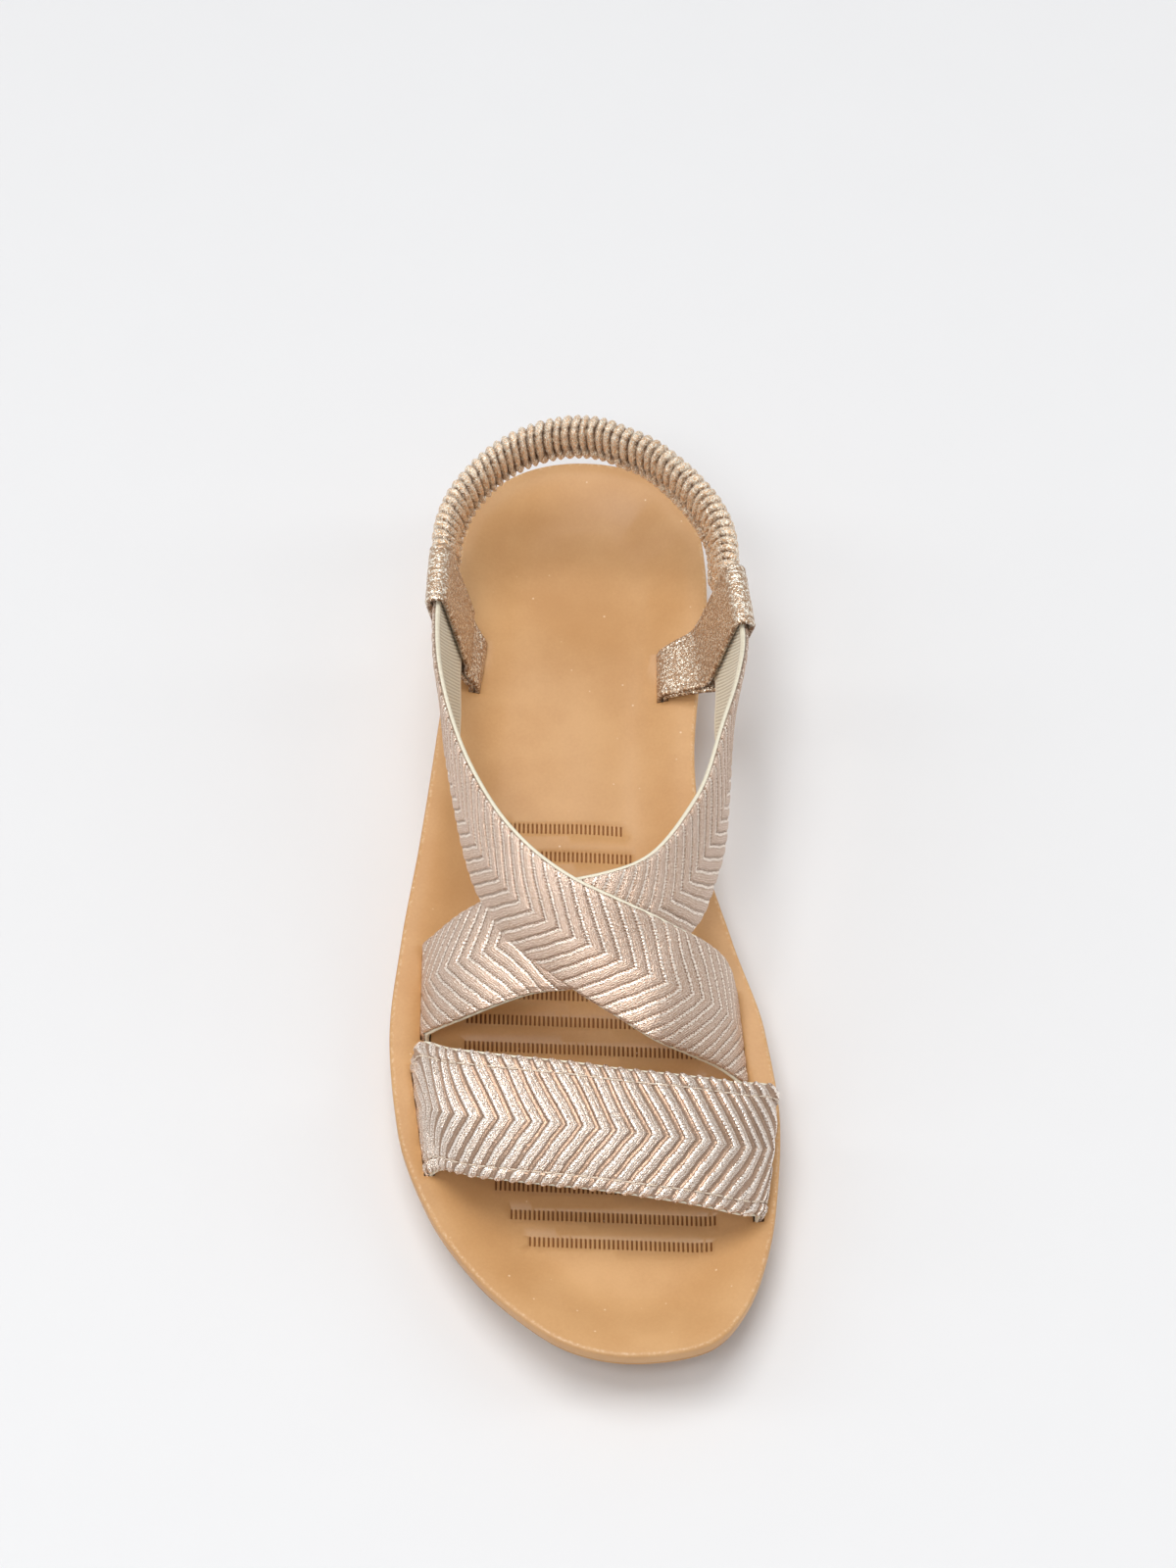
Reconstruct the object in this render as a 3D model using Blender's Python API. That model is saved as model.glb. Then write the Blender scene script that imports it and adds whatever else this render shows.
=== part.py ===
"""Cross strap sandal, right shoe, standing empty on its sole.

A moulded outsole carries a cupped footbed. Two crossed straps, a toe band and two folded tabs come up
through slots in the footbed, and a gathered elastic heel strap joins the tabs round the back.
+X is the big-toe side, -Y the toe, +Z up. The tables hold shares of the sizes named here, in metres.
"""

import math

import bpy
import numpy as np
from mathutils import Vector
from mathutils.bvhtree import BVHTree

# Sizes of the sole
LENGTH = 0.242
BALL_HALF = 0.0461
HEEL_HALF = 0.031
HEEL_RISE = 0.025
BED_THICKNESS = 0.0045
SEAM_GAP = 0.0003
LIP = 0.0022
BANK = 0.0155
RIDGE = 0.0012
RIDGE_HALF = 0.009
WALL_TAPER = 0.0040
SOLE_BEVEL = 0.0012
RIM_BEVEL = 0.0003
RIM_ROLL = 0.0011
TREAD_DEPTH = 0.0015
TREAD_PITCH = 0.0085
TREAD_HALF = 0.0012
TREAD_FROM_SPINE = 0.009
TREAD_FROM_EDGE = 0.0115

# How far inside the outline the rings that shape each face lie
FACE_RINGS = (0.0150, 0.0105, 0.0065, 0.0030)
BED_RINGS = (0.0036, 0.0068, 0.0106, 0.0150)

# Sizes of the upper
INSTEP_RISE = 0.065
STRAP_WALL = 0.0020
STRAP_CROWN = 0.0012
BAND_CROWN = 0.0022
STRAP_BITE = 0.0005
CROWN_FADE = 0.016
END_FADE = 0.030
END_FLAT = 0.010
TUCK_NEAR = 0.0050
TUCK_FADE = 0.016
CUT_ABOVE = 0.006
CUT_BELOW = 0.012
TAB_WALL = 0.0013
HEEL_STRAP_HEIGHT = 0.0138
HEEL_STRAP_WALL = 0.0066
HEEL_STRAP_END = 0.0021
HEEL_STRAP_START = 0.0105
GATHERS = 44

# How finely the solids are cut
STATIONS = 44
CAP_COLUMNS = 4
SMOOTHINGS = 3

# along: share of LENGTH from the heel; lateral, medial: shares of BALL_HALF
OUTLINE = (
    (0.000, -0.028, -0.028),
    (0.010, -0.309, 0.279),
    (0.030, -0.479, 0.454),
    (0.060, -0.601, 0.550),
    (0.100, -0.669, 0.644),
    (0.160, -0.702, 0.666),
    (0.250, -0.740, 0.625),
    (0.350, -0.799, 0.587),
    (0.450, -0.866, 0.626),
    (0.550, -0.948, 0.768),
    (0.650, -1.000, 0.934),
    (0.750, -0.950, 1.000),
    (0.840, -0.789, 0.968),
    (0.910, -0.552, 0.890),
    (0.960, -0.288, 0.768),
    (0.985, -0.095, 0.638),
    (1.000, 0.248, 0.248),
)

# along: share of LENGTH; ground, seat, rim: shares of HEEL_RISE
PROFILE = (
    (0.000, 0.100, 0.760, 1.000),
    (0.030, 0.020, 0.752, 1.000),
    (0.060, 0.000, 0.744, 0.992),
    (0.124, 0.000, 0.740, 0.960),
    (0.227, 0.000, 0.775, 0.920),
    (0.290, 0.000, 0.748, 0.900),
    (0.372, 0.110, 0.700, 0.862),
    (0.455, 0.150, 0.620, 0.820),
    (0.537, 0.080, 0.540, 0.748),
    (0.600, 0.000, 0.490, 0.692),
    (0.720, 0.000, 0.440, 0.640),
    (0.760, 0.000, 0.445, 0.640),
    (0.830, 0.070, 0.470, 0.660),
    (0.910, 0.200, 0.550, 0.740),
    (1.000, 0.390, 0.700, 0.880),
)

# Rear edge then front edge of each strap, from its first end to its last.
# across: shares of BALL_HALF; along: shares of LENGTH; rise: shares of INSTEP_RISE
UPPER_STRAP = (
    (-0.781, 0.233, 0.877, -0.679, 0.233, 0.498),
    (-0.790, 0.266, 0.877, -0.690, 0.270, 0.498),
    (-0.777, 0.329, 0.892, -0.685, 0.333, 0.514),
    (-0.705, 0.395, 0.908, -0.690, 0.400, 0.523),
    (-0.584, 0.463, 0.946, -0.640, 0.480, 0.569),
    (-0.380, 0.534, 0.992, -0.527, 0.562, 0.637),
    (-0.221, 0.568, 1.008, -0.412, 0.605, 0.674),
    (-0.052, 0.591, 1.000, -0.249, 0.634, 0.680),
    (0.167, 0.607, 0.962, -0.052, 0.664, 0.682),
    (0.354, 0.614, 0.892, 0.143, 0.687, 0.665),
    (0.488, 0.616, 0.815, 0.341, 0.707, 0.631),
    (0.618, 0.614, 0.708, 0.531, 0.710, 0.528),
    (0.738, 0.610, 0.523, 0.705, 0.705, 0.377),
    (0.790, 0.610, 0.292, 0.837, 0.708, 0.277),
)
UNDER_STRAP = (
    (0.831, 0.258, 0.877, 0.709, 0.258, 0.503),
    (0.855, 0.295, 0.877, 0.733, 0.290, 0.503),
    (0.824, 0.345, 0.892, 0.725, 0.348, 0.515),
    (0.738, 0.403, 0.908, 0.746, 0.412, 0.525),
    (0.590, 0.492, 0.938, 0.701, 0.513, 0.569),
    (0.349, 0.554, 0.954, 0.505, 0.583, 0.603),
    (0.091, 0.576, 0.962, 0.262, 0.631, 0.642),
    (-0.048, 0.581, 0.946, 0.089, 0.650, 0.669),
    (-0.271, 0.585, 0.900, -0.124, 0.664, 0.655),
    (-0.471, 0.581, 0.831, -0.345, 0.670, 0.634),
    (-0.620, 0.577, 0.738, -0.544, 0.669, 0.545),
    (-0.751, 0.569, 0.585, -0.722, 0.661, 0.392),
    (-0.833, 0.560, 0.323, -0.837, 0.655, 0.285),
)
TOE_BAND = (
    (-0.883, 0.686, 0.277, -0.800, 0.803, 0.262),
    (-0.859, 0.687, 0.415, -0.748, 0.806, 0.323),
    (-0.664, 0.717, 0.615, -0.564, 0.828, 0.438),
    (-0.367, 0.735, 0.700, -0.269, 0.845, 0.518),
    (-0.076, 0.744, 0.723, 0.022, 0.854, 0.542),
    (0.215, 0.752, 0.723, 0.312, 0.862, 0.542),
    (0.508, 0.752, 0.677, 0.603, 0.865, 0.489),
    (0.755, 0.747, 0.585, 0.800, 0.862, 0.392),
    (0.982, 0.733, 0.400, 0.905, 0.853, 0.312),
    (0.932, 0.736, 0.277, 0.899, 0.852, 0.269),
)

# across: shares of BALL_HALF; along: shares of LENGTH; rise: shares of INSTEP_RISE; lean: outward for each unit up
HEEL_STRAP = (
    (-0.711, 0.228, 0.715, 0.190),
    (-0.697, 0.202, 0.715, 0.190),
    (-0.728, 0.165, 0.715, 0.160),
    (-0.658, 0.117, 0.738, 0.120),
    (-0.554, 0.091, 0.762, 0.080),
    (-0.424, 0.071, 0.792, 0.060),
    (-0.308, 0.061, 0.815, 0.060),
    (-0.198, 0.057, 0.838, 0.060),
    (-0.051, 0.056, 0.860, 0.060),
    (0.095, 0.059, 0.860, 0.060),
    (0.215, 0.065, 0.838, 0.060),
    (0.346, 0.074, 0.815, 0.060),
    (0.477, 0.091, 0.785, 0.080),
    (0.591, 0.113, 0.762, 0.120),
    (0.668, 0.133, 0.746, 0.150),
    (0.724, 0.159, 0.731, 0.180),
    (0.738, 0.190, 0.718, 0.220),
    (0.732, 0.222, 0.715, 0.230),
    (0.750, 0.250, 0.715, 0.230),
)

# rise: shares of INSTEP_RISE; front then rear edge, across and along; half: the pocket, shares of STRAP_WALL
LATERAL_TAB = (
    (0.200, -0.588, 0.274, -0.549, 0.216, 0.425),
    (0.358, -0.588, 0.274, -0.549, 0.216, 0.425),
    (0.395, -0.616, 0.272, -0.583, 0.209, 0.425),
    (0.435, -0.646, 0.270, -0.618, 0.203, 0.520),
    (0.475, -0.663, 0.268, -0.640, 0.199, 1.000),
    (0.554, -0.684, 0.267, -0.662, 0.198, 1.020),
    (0.708, -0.724, 0.264, -0.704, 0.196, 1.020),
    (0.882, -0.768, 0.262, -0.749, 0.195, 1.020),
)
MEDIAL_TAB = (
    (0.200, 0.421, 0.284, 0.419, 0.229, 0.425),
    (0.350, 0.421, 0.284, 0.419, 0.229, 0.425),
    (0.390, 0.500, 0.286, 0.475, 0.226, 0.425),
    (0.430, 0.612, 0.288, 0.570, 0.222, 0.520),
    (0.470, 0.692, 0.290, 0.641, 0.219, 1.060),
    (0.600, 0.743, 0.290, 0.691, 0.219, 1.020),
    (0.720, 0.781, 0.289, 0.731, 0.219, 1.020),
    (0.882, 0.832, 0.289, 0.785, 0.219, 1.020),
)

# name: node; colour: RGB; metallic; roughness
FINISHES = {
    "outsole": ((0.62, 0.40, 0.20), 0.0, 0.55),
    "footbed": ((0.66, 0.43, 0.21), 0.0, 0.50),
    "cross_straps": ((0.62, 0.44, 0.34), 0.6, 0.35),
    "toe_band": ((0.62, 0.44, 0.34), 0.6, 0.35),
    "heel_strap": ((0.62, 0.42, 0.25), 0.6, 0.38),
    "lateral_tab": ((0.62, 0.42, 0.25), 0.6, 0.38),
    "medial_tab": ((0.62, 0.42, 0.25), 0.6, 0.38),
}


def through(rows, at, held=True):
    """The columns after the first, on a smooth curve through the rows, at each value of the first.

    Where held, the curve never passes the rows' own highs and lows, so a flat stretch stays flat.
    """
    table = np.array(rows, float)
    keys, values = table[:, 0], table[:, 1:]
    steps = np.diff(keys)[:, None]
    slopes = np.diff(values, axis=0) / steps
    turns = np.empty_like(values)
    turns[0], turns[-1] = slopes[0], slopes[-1]
    before, after = slopes[:-1], slopes[1:]
    if held:
        same = before * after > 0
        turns[1:-1] = np.where(same, 2 * before * after / np.where(same, before + after, 1), 0)
    else:
        turns[1:-1] = (before * steps[1:] + after * steps[:-1]) / (steps[1:] + steps[:-1])
    at = np.clip(np.asarray(at, float), keys[0], keys[-1])
    span = np.clip(np.searchsorted(keys, at, side="right") - 1, 0, len(keys) - 2)
    width = (keys[span + 1] - keys[span])[..., None]
    t = (at - keys[span])[..., None] / width
    return (
        values[span] * (1 + 2 * t) * (1 - t) ** 2
        + values[span + 1] * t**2 * (3 - 2 * t)
        + turns[span] * width * t * (1 - t) ** 2
        - turns[span + 1] * width * t**2 * (1 - t)
    )


def sides(turn):
    """Lateral and medial edge of the sole, and the place along it, at a turn from 0 (heel) to pi (toe)."""
    rows = [(math.acos(1 - 2 * along), lateral, medial) for along, lateral, medial in OUTLINE]
    edges = through(rows, turn) * BALL_HALF
    return edges[..., 0], edges[..., 1], (1 - np.cos(turn)) / 2


def ring(count):
    """The sole's outline and the points of its spine that they face: medial heel to toe, then back."""
    turn = np.linspace(0, math.pi, count + 1)
    lateral, medial, along = sides(turn)
    y = LENGTH * (0.5 - along)
    spine_y = y * (1 - 1.9 * HEEL_HALF / LENGTH)
    spine_turn = np.arccos(np.clip(2 * spine_y / LENGTH, -1, 1))
    spine_lateral, spine_medial, _ = sides(spine_turn)
    spine_x = (spine_lateral + spine_medial) / 2
    x = np.concatenate([medial, lateral[-2:0:-1]])
    back = slice(-2, 0, -1)
    edge = np.stack([x, np.concatenate([y, y[back]])], axis=1)
    spine = np.stack([np.concatenate([spine_x, spine_x[back]]), np.concatenate([spine_y, spine_y[back]])], axis=1)
    return edge, spine



FINE_EDGE = ring(360)[0]


def from_edge(x, y):
    """How far inside the outline each point lies."""
    x, y = np.atleast_1d(x), np.atleast_1d(y)
    away = np.hypot(x[:, None] - FINE_EDGE[None, :, 0], y[:, None] - FINE_EDGE[None, :, 1])
    return away.min(axis=1)


def heights(y):
    """Ground side, seat and rim of the sole at each y."""
    found = through(PROFILE, np.clip(0.5 - np.atleast_1d(y) / LENGTH, 0, 1)) * HEEL_RISE
    return found[:, 0], found[:, 1], found[:, 2]


def bed_top(x, y):
    """Height of the footbed: a rim, a bank down from it, the seat, and a low ridge behind the waist."""
    _, seat, rim = heights(y)
    bank = np.clip((from_edge(x, y) - LIP) / BANK, 0, 1)
    along = 0.5 - np.atleast_1d(y) / LENGTH
    ridge = RIDGE * np.exp(-((np.atleast_1d(x) / RIDGE_HALF) ** 2)) * np.clip(1 - ((along - 0.33) / 0.14) ** 2, 0, 1)
    return seat + (rim - seat) * (1 + np.cos(math.pi * bank)) / 2 + ridge


def bed_under(x, y):
    return bed_top(x, y) - BED_THICKNESS


def sole_top(x, y):
    return bed_under(x, y) - SEAM_GAP


def ground(x, y):
    return heights(y)[0]


def made(name, points, faces, cutter=False):
    """One object of these points and faces, cut into triangles, with its own finish."""
    mesh = bpy.data.meshes.new(name)
    flat = [(face[0], b, c) for face in faces for b, c in zip(face[1:-1], face[2:])]
    mesh.from_pydata([tuple(map(float, point)) for point in points], [], flat)
    mesh.validate()
    found = bpy.data.objects.new(name, mesh)
    bpy.context.collection.objects.link(found)
    if cutter:
        found.hide_render = True
        found.display_type = "WIRE"
        return found
    colour, metallic, roughness = FINISHES[name]
    finish = bpy.data.materials.new(name)
    finish.use_nodes = True
    shader = finish.node_tree.nodes["Principled BSDF"]
    shader.inputs["Base Color"].default_value = (*colour, 1)
    shader.inputs["Metallic"].default_value = metallic
    shader.inputs["Roughness"].default_value = roughness
    mesh.materials.append(finish)
    return found


def cut(target, cutter, operation="DIFFERENCE"):
    change = target.modifiers.new(cutter.name, "BOOLEAN")
    change.operation = operation
    change.solver = "EXACT"
    change.object = cutter


def moulded(name, rings, first, last):
    """A solid of rings that follow the outline, from the middle of its underside to the middle of its top.

    Each ring is (inset from the outline, surface, lift above that surface). first and last are the
    surfaces of the two caps.
    """
    edge, spine = ring(STATIONS)
    reach = np.hypot(*(spine - edge).T)
    count = len(edge)
    points = []
    faces = []
    for inset, surface, lift in rings:
        place = edge + (spine - edge) * (inset / reach)[:, None]
        points += list(np.column_stack([place, surface(place[:, 0], place[:, 1]) + lift]))
    for row in range(len(rings) - 1):
        for i in range(count):
            j = (i + 1) % count
            low, high = row * count, (row + 1) * count
            faces.append((low + i, low + j, high + j, high + i))
    for base, surface, lift, up in ((0, first, rings[0][2], False), ((len(rings) - 1) * count, last, rings[-1][2], True)):
        rows = []
        for i in range(1, STATIONS):
            one, other = points[base + i], points[base + count - i]
            share = np.linspace(0, 1, CAP_COLUMNS + 2)[1:-1]
            inner = one[None, :2] + (other - one)[None, :2] * share[:, None]
            start = len(points)
            points += list(np.column_stack([inner, surface(inner[:, 0], inner[:, 1]) + lift]))
            rows.append([base + i, *range(start, start + CAP_COLUMNS), base + count - i])
        for heel, toe in zip(rows[:-1], rows[1:]):
            for a, b, c, d in zip(heel[:-1], heel[1:], toe[1:], toe[:-1]):
                faces.append((d, c, b, a) if up else (a, b, c, d))
        for tip, row, turned in ((base, rows[0], up), (base + STATIONS, rows[-1], not up)):
            for a, b in zip(row[:-1], row[1:]):
                faces.append((tip, a, b) if turned else (tip, b, a))
    return made(name, points, outward(points, faces))


def outward(points, faces):
    """The faces turned so that the solid's volume comes out positive."""
    total = 0.0
    for face in faces:
        a = np.asarray(points[face[0]])
        for b, c in zip(face[1:-1], face[2:]):
            total += float(np.dot(a, np.cross(points[b], points[c])))
    return faces if total > 0 else [tuple(reversed(face)) for face in faces]


def plate(top, under):
    """Points and faces of a solid between two grids of the same rows and columns."""
    rows, columns = top.shape[:2]
    points = list(top.reshape(-1, 3)) + list(under.reshape(-1, 3))
    below = rows * columns
    faces = []
    for i in range(rows - 1):
        for j in range(columns - 1):
            a, b, c, d = (i * columns + j, i * columns + j + 1, (i + 1) * columns + j + 1, (i + 1) * columns + j)
            faces.append((a, b, c, d))
            faces.append((d + below, c + below, b + below, a + below))
    rim = [j for j in range(columns)]
    rim += [i * columns + columns - 1 for i in range(1, rows)]
    rim += [(rows - 1) * columns + j for j in range(columns - 2, -1, -1)]
    rim += [i * columns for i in range(rows - 2, 0, -1)]
    for a, b in zip(rim, rim[1:] + rim[:1]):
        faces.append((b, a, a + below, b + below))
    return points, outward(points, faces)


def normals(grid, outside):
    """Unit normals of a grid, on the side that the direction outside points to."""
    along = np.gradient(grid, axis=0)
    across = np.gradient(grid, axis=1)
    normal = np.cross(along, across)
    normal /= np.linalg.norm(normal, axis=2, keepdims=True)
    return normal if (normal * outside).sum() > 0 else -normal


def edges_of(rows):
    """Strap table rows in metres: rear edge and front edge points."""
    table = np.array(rows)
    scale = np.array([BALL_HALF, -LENGTH, INSTEP_RISE])
    start = np.array([0, LENGTH / 2, 0])
    return np.stack([table[:, :3] * scale + start, table[:, 3:] * scale + start], axis=1)


def sheet(rows, stations, columns, crown, ends):
    """The outer face of a strap as a grid, crowned across except at its ends.

    ends holds, for the first and the last row, whether that end runs down into the footbed.
    """
    edges = edges_of(rows)
    middle = edges.mean(axis=1)
    run = np.concatenate([[0], np.cumsum(np.linalg.norm(np.diff(middle, axis=0), axis=1))])
    keyed = np.column_stack([run, edges.reshape(len(rows), 6)])
    at = np.linspace(0, run[-1], stations)
    found = through(keyed, at, held=False).reshape(stations, 2, 3)
    share = np.linspace(0, 1, columns)[None, :, None]
    grid = found[:, :1] * (1 - share) + found[:, 1:] * share
    face = normals(grid, np.array([0, 0, 1]))
    fade = np.ones(stations)
    for end, down in zip((0, 1), ends):
        reach = np.abs(at - at[-end]) if down else np.abs(at - at[-end]) - END_FLAT
        fade *= np.clip(reach / (CROWN_FADE if down else END_FADE), 0, 1) ** 1.5
    bulge = crown * (1 - (2 * share - 1) ** 2) * fade[:, None, None]
    return grid + face * bulge


def end_plate(grid, end):
    """Outer and inner corners of a strap end that stands upright, seen from above."""
    edge = grid[end]
    run = edge[-1, :2] - edge[0, :2]
    run /= np.linalg.norm(run)
    inward = np.array([run[1], -run[0]])
    if inward @ edge.mean(axis=0)[:2] > 0:
        inward = -inward
    return edge, run, inward


def grown_down(top, under, end):
    """Both grids with one more row at an end, straight down through the footbed's slot."""
    outer, inner = top[end].copy(), under[end].copy()
    _, _, inward = end_plate(top, end)
    inner[:, :2] = outer[:, :2] + inward * STRAP_WALL
    inner[:, 2] = outer[:, 2]
    foot = np.maximum(bed_under(outer[:, 0], outer[:, 1]), bed_under(inner[:, 0], inner[:, 1]))
    low_outer, low_inner = outer.copy(), inner.copy()
    low_outer[:, 2] = foot
    low_inner[:, 2] = foot
    if end == 0:
        under[0] = inner
        return np.concatenate([low_outer[None], top]), np.concatenate([low_inner[None], under])
    under[-1] = inner
    return np.concatenate([top, low_outer[None]]), np.concatenate([under, low_inner[None]])


def slot_for(top, end):
    """A cutter for the slot that this strap end stands in, a seam gap wider all round."""
    edge, run, inward = end_plate(top, end)
    a = edge[0, :2] - run * SEAM_GAP - inward * SEAM_GAP
    b = edge[-1, :2] + run * SEAM_GAP - inward * SEAM_GAP
    deep = inward * (STRAP_WALL + 2 * SEAM_GAP)
    return [a, b, b + deep, a + deep], float(edge[:, 2].mean())


def prisms(name, plans):
    """One cutter object of upright prisms, each (corners, height of its middle)."""
    points = []
    faces = []
    for corners, middle in plans:
        base = len(points)
        count = len(corners)
        points += [(*corner, middle - CUT_BELOW) for corner in corners]
        points += [(*corner, middle + CUT_ABOVE) for corner in corners]
        sides_of = [(base + i, base + (i + 1) % count, base + count + (i + 1) % count, base + count + i) for i in range(count)]
        caps = [tuple(base + i for i in reversed(range(count))), tuple(base + count + i for i in range(count))]
        own = outward(points, sides_of + caps)
        faces += own
    return made(name, points, faces, cutter=True)


def tucked(under, over):
    """The lower strap's grid pressed against the inside of the upper one wherever that covers it."""
    rows, columns = over.shape[:2]
    quads = [
        (i * columns + j, i * columns + j + 1, (i + 1) * columns + j + 1, (i + 1) * columns + j)
        for i in range(rows - 1)
        for j in range(columns - 1)
    ]
    tree = BVHTree.FromPolygons([Vector(point) for point in over.reshape(-1, 3)], quads)
    shift = np.zeros_like(under)
    for i in range(under.shape[0]):
        for j in range(under.shape[1]):
            point = Vector(under[i, j])
            near, normal, _, _ = tree.find_nearest(point)
            if normal.z < 0:
                normal = -normal
            aim = near - normal * (STRAP_WALL - STRAP_BITE)
            hold = min(1.0, max(0.0, 1 - ((point - near).length - TUCK_NEAR) / TUCK_FADE))
            hold = hold * hold * (3 - 2 * hold)
            shift[i, j] = normal * (aim - point).dot(normal) * hold
    for _ in range(SMOOTHINGS):
        shift[1:-1] = (shift[:-2] + 2 * shift[1:-1] + shift[2:]) / 4
        shift[:, 1:-1] = (shift[:, :-2] + 2 * shift[:, 1:-1] + shift[:, 2:]) / 4
    return under + shift


def tab(name, rows):
    """A ribbon that stands in its slot, opens round the strap ends and folds over them."""
    scale = STRAP_WALL
    table = np.array(rows)
    rises = np.linspace(table[1, 0], table[-1, 0], 12)
    rises = np.concatenate([[table[0, 0]], rises])
    found = through(rows, rises)
    outer_side = 1 if table[-1, 1] > 0 else -1
    left, right = [], []
    ends = []
    for column in (0, 2):
        x = found[:, column] * BALL_HALF
        y = LENGTH * (0.5 - found[:, column + 1])
        z = rises * INSTEP_RISE
        half = found[:, 4] * scale
        middle = np.stack([x, y, z], axis=1)
        tangent = np.gradient(middle[:, [0, 2]], axis=0)
        tangent /= np.linalg.norm(tangent, axis=1, keepdims=True)
        tangent[0] = tangent[1] = (0, 1)
        flat = np.stack([tangent[:, 1], -tangent[:, 0]], axis=1) * outer_side
        ends.append((middle, flat, half, tangent))
    for middle, flat, half, tangent in ends:
        path = []
        ways = []
        for k in range(len(middle)):
            path.append(middle[k] - np.array([flat[k, 0], 0, flat[k, 1]]) * half[k])
            ways.append(-flat[k])
        top_middle, top_flat, top_half, top_way = middle[-1], flat[-1], half[-1], tangent[-1]
        for angle in np.linspace(0, math.pi, 9)[1:-1]:
            way = -top_flat * math.cos(angle) + top_way * math.sin(angle)
            path.append(top_middle + np.array([way[0], 0, way[1]]) * top_half)
            ways.append(way)
        for k in reversed(range(len(middle))):
            path.append(middle[k] + np.array([flat[k, 0], 0, flat[k, 1]]) * half[k])
            ways.append(flat[k])
        path, ways = np.array(path), np.array(ways)
        offset = np.stack([ways[:, 0], np.zeros(len(ways)), ways[:, 1]], axis=1) * TAB_WALL / 2
        left.append(path + offset)
        right.append(path - offset)
    steps = np.linspace(0, 1, 3)[None, :, None]
    top = np.array(left[0])[:, None] * (1 - steps) + np.array(left[1])[:, None] * steps
    under = np.array(right[0])[:, None] * (1 - steps) + np.array(right[1])[:, None] * steps
    for grid in (top, under):
        for row in (0, -1):
            foot = bed_under(grid[row, :, 0], grid[row, :, 1])
            grid[row, :, 2] = foot + SEAM_GAP * 1.35
    return made(name, *plate(top, under)), slot_of_tab(top, under, outer_side)


def slot_of_tab(top, under, outer_side):
    """A cutter for the slot that a tab's two leaves stand in."""
    front = np.array([top[0, 0, :2], top[-1, 0, :2]])
    rear = np.array([top[0, -1, :2], top[-1, -1, :2]])
    run = front.mean(axis=0) - rear.mean(axis=0)
    run /= np.linalg.norm(run)
    across = np.array([outer_side, 0.0])
    gap = SEAM_GAP
    corners = [
        front[0] + run * gap - across * gap,
        front[1] + run * gap + across * gap,
        rear[1] - run * gap + across * gap,
        rear[0] - run * gap - across * gap,
    ]
    return corners, float(bed_top(front[:, 0], front[:, 1]).mean() + CUT_ABOVE / 3)


def heel_strap():
    """An elastic tube drawn into gathers, flat where its ends lie in the tabs."""
    table = np.array(HEEL_STRAP)
    places = table[:, :3] * np.array([BALL_HALF, -LENGTH, INSTEP_RISE]) + np.array([0, LENGTH / 2, 0])
    run = np.concatenate([[0], np.cumsum(np.linalg.norm(np.diff(places, axis=0), axis=1))])
    inner = np.linspace(HEEL_STRAP_START, run[-1] - HEEL_STRAP_START, 2 * GATHERS + 1)
    flat_to = HEEL_STRAP_START * 0.90
    at = np.concatenate([[0, flat_to], inner, [run[-1] - flat_to, run[-1]]])
    path = through(np.column_stack([run, places, table[:, 3]]), at, held=False)
    path, lean = path[:, :3], path[:, 3]
    way = np.gradient(path, axis=0)
    way[:, 2] = 0
    way /= np.linalg.norm(way, axis=1, keepdims=True)
    side = np.stack([way[:, 1], -way[:, 0], np.zeros(len(way))], axis=1)
    sections = 8
    angles = np.linspace(0, 2 * math.pi, sections, endpoint=False) + math.pi / sections
    points = []
    for k in range(len(at)):
        flat = k < 2 or k >= len(at) - 2
        crest = (k - 2) % 2 == 1
        high = HEEL_STRAP_HEIGHT * (0.84 if flat else 1.0 if crest else 0.93) / 2
        wide = (HEEL_STRAP_END if flat else HEEL_STRAP_WALL * (1.0 if crest else 0.70)) / 2
        for angle in angles:
            c, s = math.cos(angle), math.sin(angle)
            bulge = math.copysign(abs(c) ** 0.75, c) * 1.06
            rise = math.copysign(abs(s) ** 0.75, s) * 1.06
            if flat:
                bulge = math.copysign(1.0, c)
            aside = wide * bulge - lean[k] * high * rise
            points.append(path[k] + side[k] * aside + np.array([0, 0, high * rise]))
    faces = []
    for k in range(len(at) - 1):
        for i in range(sections):
            j = (i + 1) % sections
            faces.append((k * sections + i, k * sections + j, (k + 1) * sections + j, (k + 1) * sections + i))
    last = (len(at) - 1) * sections
    faces.append(tuple(reversed(range(sections))))
    faces.append(tuple(last + i for i in range(sections)))
    return made("heel_strap", points, outward(points, faces))


def tread():
    """Cutters for short grooves each side of a plain band down the middle of the ground side."""
    plans = []
    for start, stop in ((0.085, 0.275), (0.600, 0.745)):
        for y in np.arange(LENGTH * (0.5 - stop), LENGTH * (0.5 - start), TREAD_PITCH):
            turn = math.acos(2 * y / LENGTH)
            lateral, medial, _ = sides(np.array([turn]))
            for near, far in ((TREAD_FROM_SPINE, medial[0]), (-TREAD_FROM_SPINE, lateral[0])):
                end = far - math.copysign(TREAD_FROM_EDGE, far)
                low, high = sorted((near, end))
                half = TREAD_HALF
                plans.append(([(low, y - half), (high, y - half), (high, y + half), (low, y + half)], TREAD_DEPTH - CUT_ABOVE))
    return prisms("tread_cutter", plans)


def settle():
    """Every mesh shifted so that the sandal stands centred on the origin."""
    shown = [bpy.data.objects[name] for name in FINISHES]
    corners = np.array([vertex.co[:] for found in shown for vertex in found.data.vertices])
    low, high = corners.min(axis=0), corners.max(axis=0)
    shift = Vector((-(low[0] + high[0]) / 2, -(low[1] + high[1]) / 2, -low[2]))
    for mesh in bpy.data.meshes:
        for vertex in mesh.vertices:
            vertex.co += shift


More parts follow.
